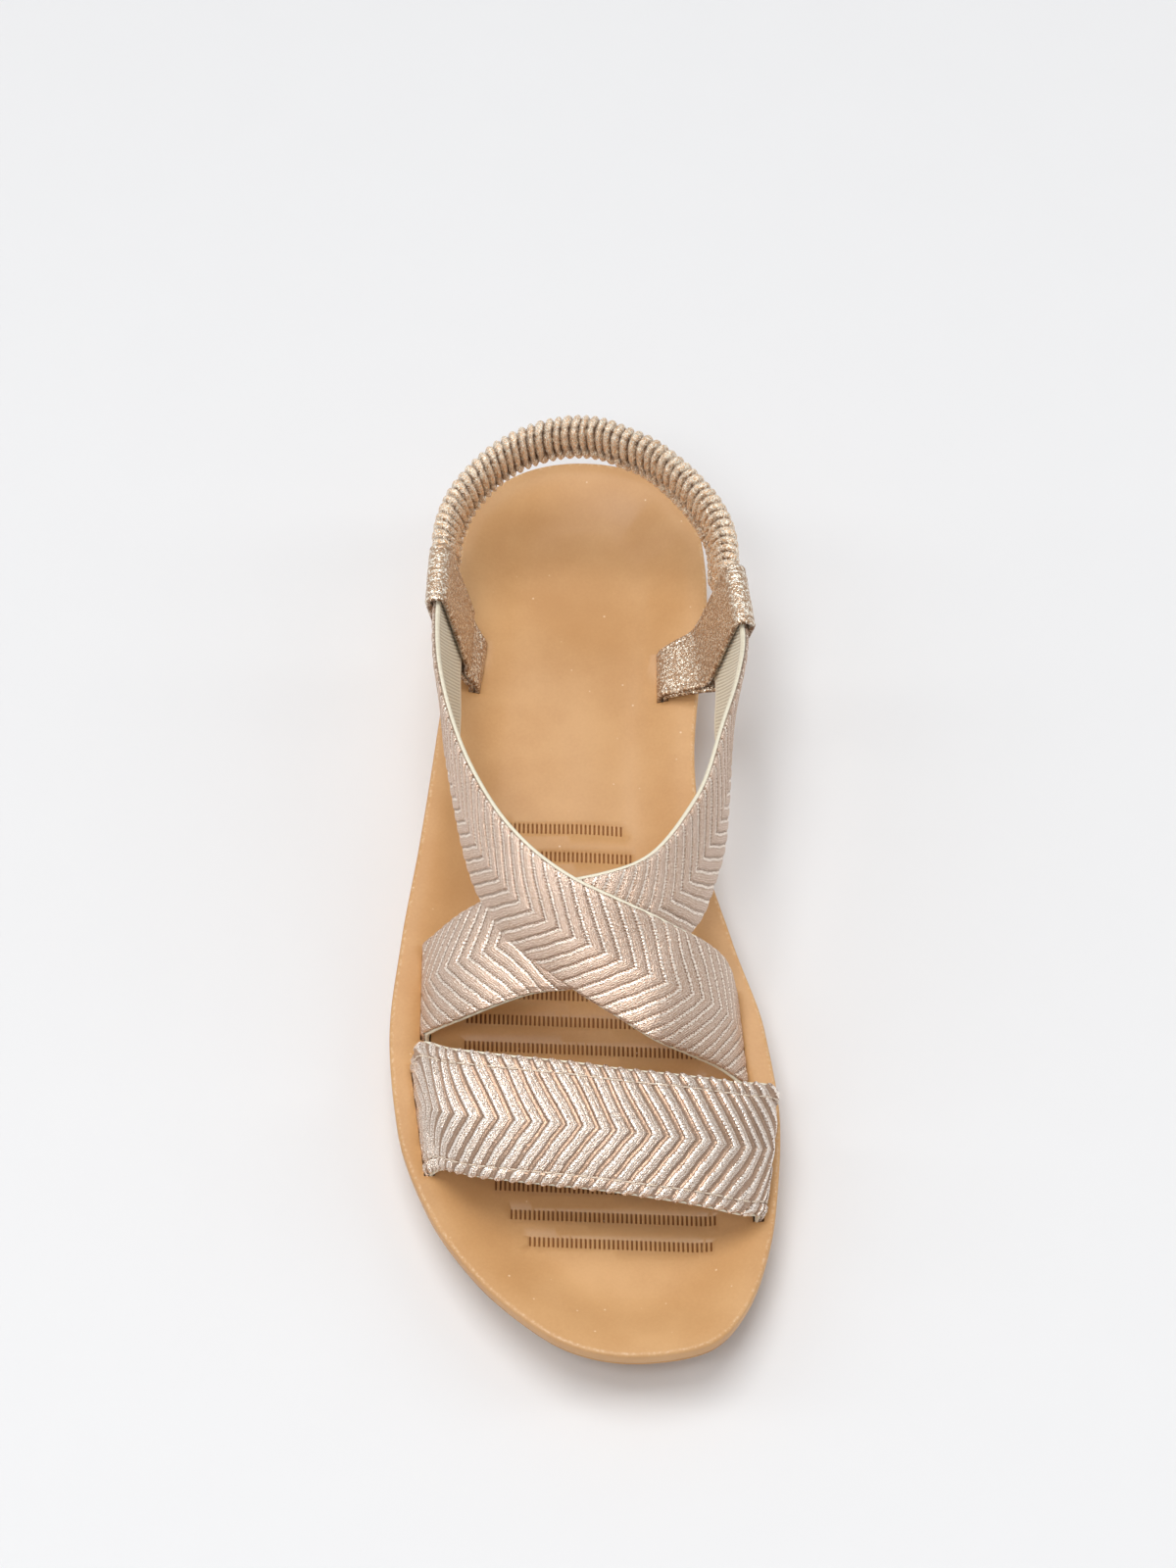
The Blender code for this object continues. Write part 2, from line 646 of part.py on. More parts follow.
def build():
    for old in list(bpy.data.objects):
        bpy.data.objects.remove(old, do_unlink=True)

    taper = WALL_TAPER
    outsole = moulded(
        "outsole",
        (
            (taper * 5.0, ground, 0.0),
            (taper * 2.75, ground, 0.0),
            (taper * 1.40, ground, 0.0),
            (taper * 1.05, ground, SOLE_BEVEL),
            (taper * 0.55, lambda x, y: (ground(x, y) + sole_top(x, y)) / 2, 0.0),
            (RIM_BEVEL * 2, sole_top, -SOLE_BEVEL),
            (RIM_BEVEL, sole_top, 0.0),
            *((inset, sole_top, 0.0) for inset in reversed(FACE_RINGS)),
        ),
        ground,
        sole_top,
    )
    cut(outsole, tread())

    footbed = moulded(
        "footbed",
        (
            *((inset, bed_under, 0.0) for inset in FACE_RINGS),
            (RIM_BEVEL, bed_under, 0.0),
            (0.0, bed_under, RIM_ROLL),
            (0.0, bed_top, -RIM_ROLL),
            (RIM_BEVEL, bed_top, -RIM_BEVEL),
            (RIM_ROLL, bed_top, 0.0),
            *((inset, bed_top, 0.0) for inset in BED_RINGS),
        ),
        bed_under,
        bed_top,
    )

    over = sheet(UPPER_STRAP, 32, 7, STRAP_CROWN, (False, True))
    under = tucked(sheet(UNDER_STRAP, 32, 7, STRAP_CROWN, (False, True)), over)
    band = sheet(TOE_BAND, 25, 7, BAND_CROWN, (True, True))
    slots = []
    up = np.array([0, 0, 1])
    pieces = {}
    for name, grid, ends in (("over", over, (-1,)), ("under", under, (-1,)), ("band", band, (0, -1))):
        inner = grid - normals(grid, up) * STRAP_WALL
        outer = grid
        for end in ends:
            slots.append(slot_for(outer, end))
            outer, inner = grown_down(outer, inner, end)
        pieces[name] = plate(outer, inner)
    made("toe_band", *pieces["band"])
    straps = made("cross_straps", *pieces["over"])
    cut(straps, made("under_strap", *pieces["under"], cutter=True), "UNION")

    for name, rows in (("lateral_tab", LATERAL_TAB), ("medial_tab", MEDIAL_TAB)):
        _, slot = tab(name, rows)
        slots.append(slot)
    cut(footbed, prisms("slot_cutter", slots))
    heel_strap()
    settle()


build()
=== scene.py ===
"""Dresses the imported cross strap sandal.

Embossed straps over a ribbed lining, a gathered heel strap, folded tabs, a slotted footbed and its
moulded sole, on a pale floor under soft light. Lengths are in metres; tables hold shares of them.
"""

from __future__ import annotations

import logging
import math
from dataclasses import dataclass, field
from enum import Enum
from typing import Any

import bpy
import numpy as np
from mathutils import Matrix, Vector
from mathutils.bvhtree import BVHTree
from mathutils.geometry import delaunay_2d_cdt

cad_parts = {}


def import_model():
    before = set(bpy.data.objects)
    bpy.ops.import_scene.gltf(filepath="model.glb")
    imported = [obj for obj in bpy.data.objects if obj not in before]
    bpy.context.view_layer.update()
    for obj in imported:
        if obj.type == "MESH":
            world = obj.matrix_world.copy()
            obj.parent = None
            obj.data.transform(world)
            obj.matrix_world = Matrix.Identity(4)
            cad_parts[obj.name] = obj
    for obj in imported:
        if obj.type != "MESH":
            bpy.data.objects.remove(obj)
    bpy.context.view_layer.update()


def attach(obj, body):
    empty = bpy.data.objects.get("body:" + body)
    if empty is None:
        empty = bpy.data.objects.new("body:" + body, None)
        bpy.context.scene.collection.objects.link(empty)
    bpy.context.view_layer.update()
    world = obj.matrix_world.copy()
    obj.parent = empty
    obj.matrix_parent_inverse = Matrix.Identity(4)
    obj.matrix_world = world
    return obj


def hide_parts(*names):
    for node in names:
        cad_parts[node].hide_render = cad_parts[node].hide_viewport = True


LOG = logging.getLogger("sandal")
Rows = tuple[tuple[float, ...], ...]
Colour = tuple[float, float, float]
Array = np.ndarray
MM = 0.001
STRAP_WALL = 0.0020

# along, from the heel: share of the length; lateral, medial: shares of the ball's half width
OUTLINE: Rows = (
    (0.000, -0.028, -0.028),
    (0.010, -0.309, 0.279),
    (0.030, -0.479, 0.454),
    (0.060, -0.601, 0.550),
    (0.100, -0.669, 0.644),
    (0.160, -0.702, 0.666),
    (0.250, -0.740, 0.625),
    (0.350, -0.799, 0.587),
    (0.450, -0.866, 0.626),
    (0.550, -0.948, 0.768),
    (0.650, -1.000, 0.934),
    (0.750, -0.950, 1.000),
    (0.840, -0.789, 0.968),
    (0.910, -0.552, 0.890),
    (0.960, -0.288, 0.768),
    (0.985, -0.095, 0.638),
    (1.000, 0.248, 0.248),
)
# along: share of the length; ground, seat, rim: shares of the heel's rise
PROFILE: Rows = (
    (0.000, 0.100, 0.760, 1.000),
    (0.030, 0.020, 0.752, 1.000),
    (0.060, 0.000, 0.744, 0.992),
    (0.124, 0.000, 0.740, 0.960),
    (0.227, 0.000, 0.775, 0.920),
    (0.290, 0.000, 0.748, 0.900),
    (0.372, 0.110, 0.700, 0.862),
    (0.455, 0.150, 0.620, 0.820),
    (0.537, 0.080, 0.540, 0.748),
    (0.600, 0.000, 0.490, 0.692),
    (0.720, 0.000, 0.440, 0.640),
    (0.760, 0.000, 0.445, 0.640),
    (0.830, 0.070, 0.470, 0.660),
    (0.910, 0.200, 0.550, 0.740),
    (1.000, 0.390, 0.700, 0.880),
)
# The rear edge, then the front edge, of each strap from its first end to its last:
# across: shares of the ball's half width; along: shares of the length; up: shares of the instep's rise
UPPER_STRAP: Rows = (
    (-0.781, 0.233, 0.877, -0.679, 0.233, 0.498),
    (-0.790, 0.266, 0.877, -0.690, 0.270, 0.498),
    (-0.777, 0.329, 0.892, -0.685, 0.333, 0.514),
    (-0.705, 0.395, 0.908, -0.690, 0.400, 0.523),
    (-0.584, 0.463, 0.946, -0.640, 0.480, 0.569),
    (-0.380, 0.534, 0.992, -0.527, 0.562, 0.637),
    (-0.221, 0.568, 1.008, -0.412, 0.605, 0.674),
    (-0.052, 0.591, 1.000, -0.249, 0.634, 0.680),
    (0.167, 0.607, 0.962, -0.052, 0.664, 0.682),
    (0.354, 0.614, 0.892, 0.143, 0.687, 0.665),
    (0.488, 0.616, 0.815, 0.341, 0.707, 0.631),
    (0.618, 0.614, 0.708, 0.531, 0.710, 0.528),
    (0.738, 0.610, 0.523, 0.705, 0.705, 0.377),
    (0.790, 0.610, 0.292, 0.837, 0.708, 0.277),
)
UNDER_STRAP: Rows = (
    (0.831, 0.258, 0.877, 0.709, 0.258, 0.503),
    (0.855, 0.295, 0.877, 0.733, 0.290, 0.503),
    (0.824, 0.345, 0.892, 0.725, 0.348, 0.515),
    (0.738, 0.403, 0.908, 0.746, 0.412, 0.525),
    (0.590, 0.492, 0.938, 0.701, 0.513, 0.569),
    (0.349, 0.554, 0.954, 0.505, 0.583, 0.603),
    (0.091, 0.576, 0.962, 0.262, 0.631, 0.642),
    (-0.048, 0.581, 0.946, 0.089, 0.650, 0.669),
    (-0.271, 0.585, 0.900, -0.124, 0.664, 0.655),
    (-0.471, 0.581, 0.831, -0.345, 0.670, 0.634),
    (-0.620, 0.577, 0.738, -0.544, 0.669, 0.545),
    (-0.751, 0.569, 0.585, -0.722, 0.661, 0.392),
    (-0.833, 0.560, 0.323, -0.837, 0.655, 0.285),
)
TOE_BAND: Rows = (
    (-0.883, 0.686, 0.277, -0.800, 0.803, 0.262),
    (-0.859, 0.687, 0.415, -0.748, 0.806, 0.323),
    (-0.664, 0.717, 0.615, -0.564, 0.828, 0.438),
    (-0.367, 0.735, 0.700, -0.269, 0.845, 0.518),
    (-0.076, 0.744, 0.723, 0.022, 0.854, 0.542),
    (0.215, 0.752, 0.723, 0.312, 0.862, 0.542),
    (0.508, 0.752, 0.677, 0.603, 0.865, 0.489),
    (0.755, 0.747, 0.585, 0.800, 0.862, 0.392),
    (0.982, 0.733, 0.400, 0.905, 0.853, 0.312),
    (0.932, 0.736, 0.277, 0.899, 0.852, 0.269),
)
# across, along and up, as above; lean: outward for each unit up
HEEL_STRAP: Rows = (
    (-0.711, 0.228, 0.715, 0.190),
    (-0.697, 0.202, 0.715, 0.190),
    (-0.728, 0.165, 0.715, 0.160),
    (-0.658, 0.117, 0.738, 0.120),
    (-0.554, 0.091, 0.762, 0.080),
    (-0.424, 0.071, 0.792, 0.060),
    (-0.308, 0.061, 0.815, 0.060),
    (-0.198, 0.057, 0.838, 0.060),
    (-0.051, 0.056, 0.860, 0.060),
    (0.095, 0.059, 0.860, 0.060),
    (0.215, 0.065, 0.838, 0.060),
    (0.346, 0.074, 0.815, 0.060),
    (0.477, 0.091, 0.785, 0.080),
    (0.591, 0.113, 0.762, 0.120),
    (0.668, 0.133, 0.746, 0.150),
    (0.724, 0.159, 0.731, 0.180),
    (0.738, 0.190, 0.718, 0.220),
    (0.732, 0.222, 0.715, 0.230),
    (0.750, 0.250, 0.715, 0.230),
)
# up; then the front and the rear edge, across and along, as above; pocket's half: shares of the strap's wall
LATERAL_TAB: Rows = (
    (0.200, -0.588, 0.274, -0.549, 0.216, 0.345),
    (0.358, -0.588, 0.274, -0.549, 0.216, 0.345),
    (0.395, -0.616, 0.272, -0.583, 0.209, 0.375),
    (0.435, -0.646, 0.270, -0.618, 0.203, 0.520),
    (0.475, -0.663, 0.268, -0.640, 0.199, 1.000),
    (0.554, -0.684, 0.267, -0.662, 0.198, 1.020),
    (0.708, -0.724, 0.264, -0.704, 0.196, 1.020),
    (0.882, -0.768, 0.262, -0.749, 0.195, 1.020),
)
MEDIAL_TAB: Rows = (
    (0.200, 0.421, 0.284, 0.419, 0.229, 0.345),
    (0.350, 0.421, 0.284, 0.419, 0.229, 0.345),
    (0.390, 0.500, 0.286, 0.475, 0.226, 0.375),
    (0.430, 0.612, 0.288, 0.570, 0.222, 0.520),
    (0.470, 0.692, 0.290, 0.641, 0.219, 1.060),
    (0.600, 0.743, 0.290, 0.691, 0.219, 1.020),
    (0.720, 0.781, 0.289, 0.731, 0.219, 1.020),
    (0.882, 0.832, 0.289, 0.785, 0.219, 1.020),
)


def through(rows: Any, at: Any, held: bool = True) -> Array:
    """A smooth curve through table rows.

    Args:
        rows: rows whose first column is the key.
        at: the keys to read the curve at.
        held: keep the curve from passing the rows' own highs and lows.

    Returns:
        The other columns at each key.
    """
    table = np.array(rows, float)
    keys, values = table[:, 0], table[:, 1:]
    steps = np.diff(keys)[:, None]
    slopes = np.diff(values, axis=0) / steps
    turns = np.empty_like(values)
    turns[0], turns[-1] = slopes[0], slopes[-1]
    before, after = slopes[:-1], slopes[1:]
    if held:
        same = before * after > 0
        turns[1:-1] = np.where(same, 2 * before * after / np.where(same, before + after, 1), 0)
    else:
        turns[1:-1] = (before * steps[1:] + after * steps[:-1]) / (steps[1:] + steps[:-1])
    at = np.clip(np.asarray(at, float), keys[0], keys[-1])
    span = np.clip(np.searchsorted(keys, at, side="right") - 1, 0, len(keys) - 2)
    width = (keys[span + 1] - keys[span])[..., None]
    t = (at - keys[span])[..., None] / width
    return (
        values[span] * (1 + 2 * t) * (1 - t) ** 2
        + values[span + 1] * t**2 * (3 - 2 * t)
        + turns[span] * width * t * (1 - t) ** 2
        - turns[span + 1] * width * t**2 * (1 - t)
    )


def step(value: Array, low: float, high: float) -> Array:
    """A soft step from 0 at low to 1 at high."""
    t = np.clip((value - low) / (high - low), 0, 1)
    return t * t * (3 - 2 * t)


def normals_of(grid: Array) -> Array:
    """Unit normals of a grid of points, which face up on the whole.

    Args:
        grid: points by row and column.

    Returns:
        One normal for each point.
    """
    normal = np.cross(np.gradient(grid, axis=0), np.gradient(grid, axis=1))
    normal /= np.maximum(np.linalg.norm(normal, axis=2, keepdims=True), 1e-12)
    return normal if normal[..., 2].sum() > 0 else -normal


def run_along(path: Array) -> Array:
    """The distance covered at each point of a path."""
    return np.concatenate([[0], np.cumsum(np.linalg.norm(np.diff(path, axis=0), axis=1))])


def unit(ways: Array) -> Array:
    """Directions brought to a length of 1."""
    return ways / np.linalg.norm(ways, axis=-1, keepdims=True)


def blended(first: Array, last: Array, count: int) -> Array:
    """A grid whose count columns lie evenly between two lines of points."""
    share = np.linspace(0, 1, count)[None, :, None]
    return first[:, None] * (1 - share) + last[:, None] * share


def widened(grid: Array) -> Array:
    """A grid with its first and its last column repeated."""
    return np.concatenate([grid[:, :1], grid, grid[:, -1:]], axis=1)


def waves(rows: Rows, along: Array, across: Array) -> Array:
    """The sum of waves, each a row of its size and its radians per metre along and across."""
    return sum(size * np.sin(along * ahead + across * aside) for size, ahead, aside in rows)


def inside_of(points: Array, outline: Array) -> Array:
    """Tells which points lie inside a closed outline.

    Args:
        points: the points, seen from above.
        outline: its corners.

    Returns:
        True or False for each point.
    """
    x, y = points[:, 0], points[:, 1]
    found = np.zeros(len(points), bool)
    for (x0, y0), (x1, y1) in zip(outline, np.roll(outline, -1, axis=0)):
        if y0 != y1:
            found ^= ((y0 > y) != (y1 > y)) & (x < (x1 - x0) * (y - y0) / (y1 - y0) + x0)
    return found


def shown(made: bpy.types.Object) -> bpy.types.Object:
    """An object, put into the scene."""
    bpy.context.scene.collection.objects.link(made)
    return made


class Piece:
    """Points and faces gathered for one mesh of the sandal."""

    def __init__(self) -> None:
        """Starts with no points and no faces."""
        self.points: list[Array] = []
        self.faces: list[tuple[int, ...]] = []
        self.marks: list[Array] = []
        self.turns: list[Array] = []
        self.count = 0

    def add(self, points: Array, marks: Array | None = None, turns: Array | None = None) -> int:
        """Adds points.

        Args:
            points: the points, in metres.
            marks: where each lies on the flat cloth, along and across, and its relief.
            turns: each one's turns of the chevron and of the twist.

        Returns:
            The first point's index.
        """
        points = np.asarray(points, float).reshape(-1, 3)
        marks = np.zeros((len(points), 3)) if marks is None else marks
        turns = np.zeros((len(points), 2)) if turns is None else turns
        first = self.count
        self.points.append(points)
        self.marks.append(np.asarray(marks, float).reshape(-1, 3))
        self.turns.append(np.asarray(turns, float).reshape(-1, 2))
        self.count += len(points)
        return first

    def quads(self, first: int, rows: int, columns: int, wrap: bool = False, flip: bool = False) -> None:
        """Joins a grid of points.

        Args:
            first: the index of its first point.
            rows: its rows.
            columns: points in each row.
            wrap: join the last column to the first.
            flip: face the other way.
        """
        for i in range(rows - 1):
            for j in range(columns if wrap else columns - 1):
                k = (j + 1) % columns
                a, b = first + i * columns + j, first + i * columns + k
                c, d = b + columns, a + columns
                self.faces.append((d, c, b, a) if flip else (a, b, c, d))

    def bridge(self, one: list[int], other: list[int], loop: bool = False) -> None:
        """Joins two rows of the same number of points.

        Args:
            one: the first row.
            other: the second row.
            loop: join their ends too.
        """
        count = len(one)
        for i in range(count if loop else count - 1):
            j = (i + 1) % count
            self.faces.append((one[i], one[j], other[j], other[i]))

    def lid(self, ring: list[int], flip: bool = False) -> None:
        """Closes an outline with strips from its one side to the other.

        Args:
            ring: the outline's points, from the heel round by the toe.
            flip: face the other way.
        """
        half = len(ring) // 2
        strips: list[tuple[int, ...]]
        strips = [(ring[i], ring[i + 1], ring[-i - 1], ring[-i]) for i in range(1, half - 1)]
        strips += [(ring[0], ring[1], ring[-1]), (ring[half - 1], ring[half], ring[half + 1])]
        self.faces += [strip[::-1] if flip else strip for strip in strips]

    def built(self, name: str, finish: bpy.types.Material, nodes: tuple[str, ...], slot: str) -> None:
        """Makes the mesh object and seats it on the sandal's one body.

        Args:
            name: the piece's name.
            finish: its material.
            nodes: the CAD nodes that it stands for.
            slot: not used.
        """
        points, marks, turns = (np.concatenate(rows) for rows in (self.points, self.marks, self.turns))
        mesh = bpy.data.meshes.new(name)
        mesh.from_pydata(points.tolist(), [], self.faces)
        cloth = mesh.uv_layers.new(name="cloth")
        corners = np.empty(len(mesh.loops), np.int32)
        mesh.loops.foreach_get("vertex_index", corners)
        cloth.data.foreach_set("uv", marks[corners, :2].astype(np.float32).ravel())
        if turns.any():
            weave = mesh.uv_layers.new(name="weave")
            weave.data.foreach_set("uv", turns[corners].astype(np.float32).ravel())
        relief = mesh.attributes.new("relief", "FLOAT", "POINT")
        relief.data.foreach_set("value", marks[:, 2].astype(np.float32))
        mesh.polygons.foreach_set("use_smooth", np.ones(len(mesh.polygons), bool))
        mesh.materials.append(finish)
        mesh.update()
        made = shown(bpy.data.objects.new(name, mesh))
        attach(made, "root")
        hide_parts(*nodes)
        LOG.info("%s: %d faces", name, len(self.faces))


def slab(
    piece: Piece, top: Array, under: Array, marks: Array, under_marks: Array, turns: Array | None = None
) -> None:
    """Adds a closed plate between two grids.

    Args:
        piece: the mesh that it goes into.
        top: its upper face.
        under: its lower face, with the same rows and perhaps fewer columns.
        marks: cloth coordinates and relief of the upper face.
        under_marks: the same for the lower face.
        turns: the weave's turns on the upper face.
    """
    rows, wide, narrow = len(top), top.shape[1], under.shape[1]
    first, low = piece.add(top, marks, turns), piece.add(under, under_marks)
    piece.quads(first, rows, wide)
    piece.quads(low, rows, narrow, flip=True)
    over = np.arange(first, first + rows * wide).reshape(rows, wide)
    below = np.arange(low, low + rows * narrow).reshape(rows, narrow)
    piece.bridge(over[:, 0].tolist(), below[:, 0].tolist())
    piece.bridge(below[:, -1].tolist(), over[:, -1].tolist())
    piece.faces.append((*over[0, ::-1].tolist(), *below[0].tolist()))
    piece.faces.append((*over[-1].tolist(), *below[-1, ::-1].tolist()))


class Sock:
    """A shader socket whose operators add the Math nodes of an expression."""

    def __init__(self, graph: "Graph", out: Any) -> None:
        """Wraps a node's output."""
        self.graph = graph
        self.out = out

    def __add__(self, other: Any) -> "Sock":
        """Sum."""
        return self.graph.maths("ADD", self, other)

    def __radd__(self, other: Any) -> "Sock":
        """Sum, reflected."""
        return self.graph.maths("ADD", other, self)

    def __sub__(self, other: Any) -> "Sock":
        """Difference."""
        return self.graph.maths("SUBTRACT", self, other)

    def __rsub__(self, other: Any) -> "Sock":
        """Difference, reflected."""
        return self.graph.maths("SUBTRACT", other, self)

    def __mul__(self, other: Any) -> "Sock":
        """Product."""
        return self.graph.maths("MULTIPLY", self, other)

    def __rmul__(self, other: Any) -> "Sock":
        """Product, reflected."""
        return self.graph.maths("MULTIPLY", other, self)

    def __truediv__(self, other: Any) -> "Sock":
        """Quotient."""
        return self.graph.maths("DIVIDE", self, other)

    def __pow__(self, other: Any) -> "Sock":
        """Power."""
        return self.graph.maths("POWER", self, other)

    def fract(self) -> "Sock":
        """The part past the whole number."""
        return self.graph.maths("FRACT", self)

    def wave(self) -> "Sock":
        """A wave from 0 to 1 with one crest for each whole number."""
        return self.graph.maths("SINE", self * (2 * math.pi)) * 0.5 + 0.5

    def hump(self) -> "Sock":
        """One round hump for each whole number."""
        return self.graph.maths("ABSOLUTE", self.graph.maths("SINE", self * math.pi))

    def step(self, low: float, high: float) -> "Sock":
        """Steps softly from 0 to 1.

        Args:
            low: below this the result is 0.
            high: above this it is 1.

        Returns:
            The step.
        """
        node = self.graph.node(
            "ShaderNodeMapRange",
            {"interpolation_type": "SMOOTHSTEP"},
            {"Value": self, "From Min": low, "From Max": high},
        )
        return Sock(self.graph, node.outputs["Result"])


class Graph:
    """The nodes of one material or world."""

    def __init__(self, owner: Any, shader: str = "Principled BSDF") -> None:
        """Takes over a new material or world.

        Args:
            owner: the material or world.
            shader: the name of its shader node.
        """
        owner.use_nodes = True
        self.owner = owner
        self.tree = owner.node_tree
        self.shader = self.tree.nodes[shader]

    def put(self, socket: Any, value: Any) -> None:
        """Links or sets one input socket.

        Args:
            socket: the input.
            value: a Sock to link, a colour or a number.
        """
        if isinstance(value, Sock):
            self.tree.links.new(value.out, socket)
        elif isinstance(value, tuple) and socket.type == "RGBA" and len(value) == 3:
            socket.default_value = (*value, 1.0)
        else:
            socket.default_value = value

    def node(
        self, kind: str, settings: dict[str, Any] | None = None, inputs: dict[Any, Any] | None = None
    ) -> Any:
        """Adds any node.

        Args:
            kind: the node's type.
            settings: its properties, set first.
            inputs: values or links by socket name or index.

        Returns:
            The node.
        """
        made = self.tree.nodes.new(kind)
        for key, value in (settings or {}).items():
            setattr(made, key, value)
        for key, value in (inputs or {}).items():
            self.put(made.inputs[key], value)
        return made

    def maths(self, operation: str, one: Any, other: Any = 0.0) -> Sock:
        """A Math node's result."""
        made = self.node("ShaderNodeMath", {"operation": operation}, {0: one, 1: other})
        return Sock(self, made.outputs[0])

    def place(self) -> Sock:
        """The point on the object, in metres."""
        return Sock(self, self.node("ShaderNodeTexCoord").outputs["Object"])

    def cloth(self) -> Sock:
        """The point on the flat cloth, along and across, in metres."""
        return Sock(self, self.node("ShaderNodeUVMap", {"uv_map": "cloth"}).outputs["UV"])

    def weave(self) -> tuple[Sock, Sock]:
        """Turns of the weave's pattern.

        Returns:
            Turns of the chevron along the strap, and of the twist along each rib.
        """
        at = self.node("ShaderNodeUVMap", {"uv_map": "weave"}).outputs["UV"]
        split = self.node("ShaderNodeSeparateXYZ", {}, {0: Sock(self, at)})
        return Sock(self, split.outputs[0]), Sock(self, split.outputs[1])

    def relief(self) -> Sock:
        """The modelled relief, 0 in the grooves to 1 on the ribs."""
        made = self.node("ShaderNodeAttribute", {"attribute_name": "relief"})
        return Sock(self, made.outputs["Fac"])

    def noise(self, at: Sock, size: float, detail: float = 2.0, roughness: float = 0.5) -> Sock:
        """Soft noise.

        Args:
            at: where it is read.
            size: about how large its features are, in metres.
            detail: how many finer layers it has.
            roughness: how much those count.

        Returns:
            Its value, from 0 to 1.
        """
        made = self.node(
            "ShaderNodeTexNoise",
            {"noise_dimensions": "3D"},
            {"Vector": at, "Scale": 1 / size, "Detail": detail, "Roughness": roughness},
        )
        return Sock(self, made.outputs["Fac"])

    def cells(self, at: Sock, size: float, feature: str = "F1", output: str = "Distance") -> Sock:
        """Cells like those of crystals.

        Args:
            at: where they are read.
            size: about how large they are, in metres.
            feature: which distance is meant.
            output: which of the node's outputs.

        Returns:
            That output.
        """
        made = self.node("ShaderNodeTexVoronoi", {"feature": feature}, {"Vector": at, "Scale": 1 / size})
        return Sock(self, made.outputs[output])

    def mix(self, share: Any, low: Any, high: Any) -> Sock:
        """A colour between two."""
        made = self.node("ShaderNodeMix", {"data_type": "RGBA"}, {0: share, 6: low, 7: high})
        return Sock(self, made.outputs[2])

    def bump(self, height: Sock, distance: float, strength: float = 1.0) -> Sock:
        """A normal raised by a height between 0 and 1 over a distance in metres."""
        inputs = {"Height": height, "Distance": distance, "Strength": strength}
        return Sock(self, self.node("ShaderNodeBump", {}, inputs).outputs["Normal"])

    def dress(self, **inputs: Any) -> Any:
        """Sets the shader's sockets.

        Args:
            inputs: values or links by socket name, with underscores for spaces.

        Returns:
            The material or world.
        """
        for key, value in inputs.items():
            self.put(self.shader.inputs[key.replace("_", " ")], value)
        return self.owner


@dataclass(frozen=True)
class FoilLeather:
    """Champagne foil on soft leather: a smooth groove, a twisted cord and a knitted zone in turn, with
    painted glints and painted shade in its colour.
    """

    # bright is the colour of the painted glints
    bright: Colour = (0.98, 0.87, 0.76)
    plain: Colour = (0.51, 0.340, 0.240)
    blush: Colour = (0.54, 0.370, 0.275)
    # dark is the colour of the painted shade in the grooves and between the knots
    dark: Colour = (0.27, 0.145, 0.08)
    metallic: float = 0.80
    groove: float = 0.10
    cord: float = 0.30
    # how dark the painted shade in the grooves is
    groove_shade: float = 0.95
    boldness: float = 1.2
    roughness: float = 0.37
    even: float = 0.45
    crinkle_size: float = 0.40 * MM
    lump_size: float = 0.80 * MM
    loose_size: float = 1.1 * MM
    cloud_size: float = 8 * MM

    def made(self, name: str) -> bpy.types.Material:
        """Makes the material from the weave's turns, with painted glints on the cords and the knit.

        Args:
            name: the material's name.

        Returns:
            The material.
        """
        g = Graph(bpy.data.materials.new(name))
        at = g.cloth()
        turn, arm = g.weave()
        crinkle = g.noise(at, self.crinkle_size, 2.0, 0.65)
        grain = crinkle.step(0.38, 0.60)
        loose = g.noise(at, self.loose_size, 2.0)
        lumps = g.noise(at, self.lump_size, 2.0, 0.6)
        cloud = g.noise(at, self.cloud_size, 2.0)
        place = turn.fract()
        groove, end = self.groove, self.groove + self.cord
        valley = place.step(0.0, 0.03) * (1 - place.step(groove - 0.03, groove + 0.02))
        rope = place.step(groove - 0.02, groove + 0.03) * (1 - place.step(end - 0.04, end + 0.02))
        lobe = ((place - groove) / self.cord).hump()
        twist = (arm + place * 2.0 + loose * 1.2).wave()
        knots = rope * lobe * (0.35 + twist * 0.65)
        beads = rope * lobe * (0.10 + twist * 0.45 + grain * 0.55)
        dots = (arm * 1.15 + loose * 0.6).wave().step(0.30, 0.70)
        knit = ((arm * 1.9 + loose * 1.5).wave() + (turn * 6 + loose * 2.0).wave()) * 0.5
        woven = (1 - valley) * (1 - rope) * knit
        # painted shade in the gaps between the twisted knots of each cord
        knot_gap_shade = rope * (1 - lobe * twist) * (1 - grain * 0.7)
        warm = g.mix(cloud.step(0.35, 0.70), self.plain, self.blush)
        # painted shade: the grooves darken, evenly and in dots, and so do the gaps between the knots
        shade = valley * self.groove_shade * (self.even + dots * (1 - self.even)) + knot_gap_shade * 0.90
        # painted glints: the knots, the knit, the crinkle and bright dots in the grooves turn the colour
        # bright
        painted_glint = beads * (1.05 * self.boldness) + valley * (1 - dots) * (0.9 * (1 - self.even))
        painted_glint = painted_glint + woven * (0.42 * self.boldness) + crinkle * 0.70 + lumps * 0.45
        colour = g.mix((painted_glint - 0.64).step(0.02, 0.62), g.mix(shade, warm, self.dark), self.bright)
        rough = self.roughness - beads * 0.15 + crinkle * 0.14
        fine = lumps * 0.12 + crinkle * 0.10 + woven * (0.08 * self.boldness)
        height = (1 - valley) * 0.45 + knots * 0.55
        normal = g.bump(height * (0.12 + 0.09 * self.boldness) + fine, MM)
        return g.dress(Base_Color=colour, Roughness=rough, Metallic=self.metallic, Normal=normal)


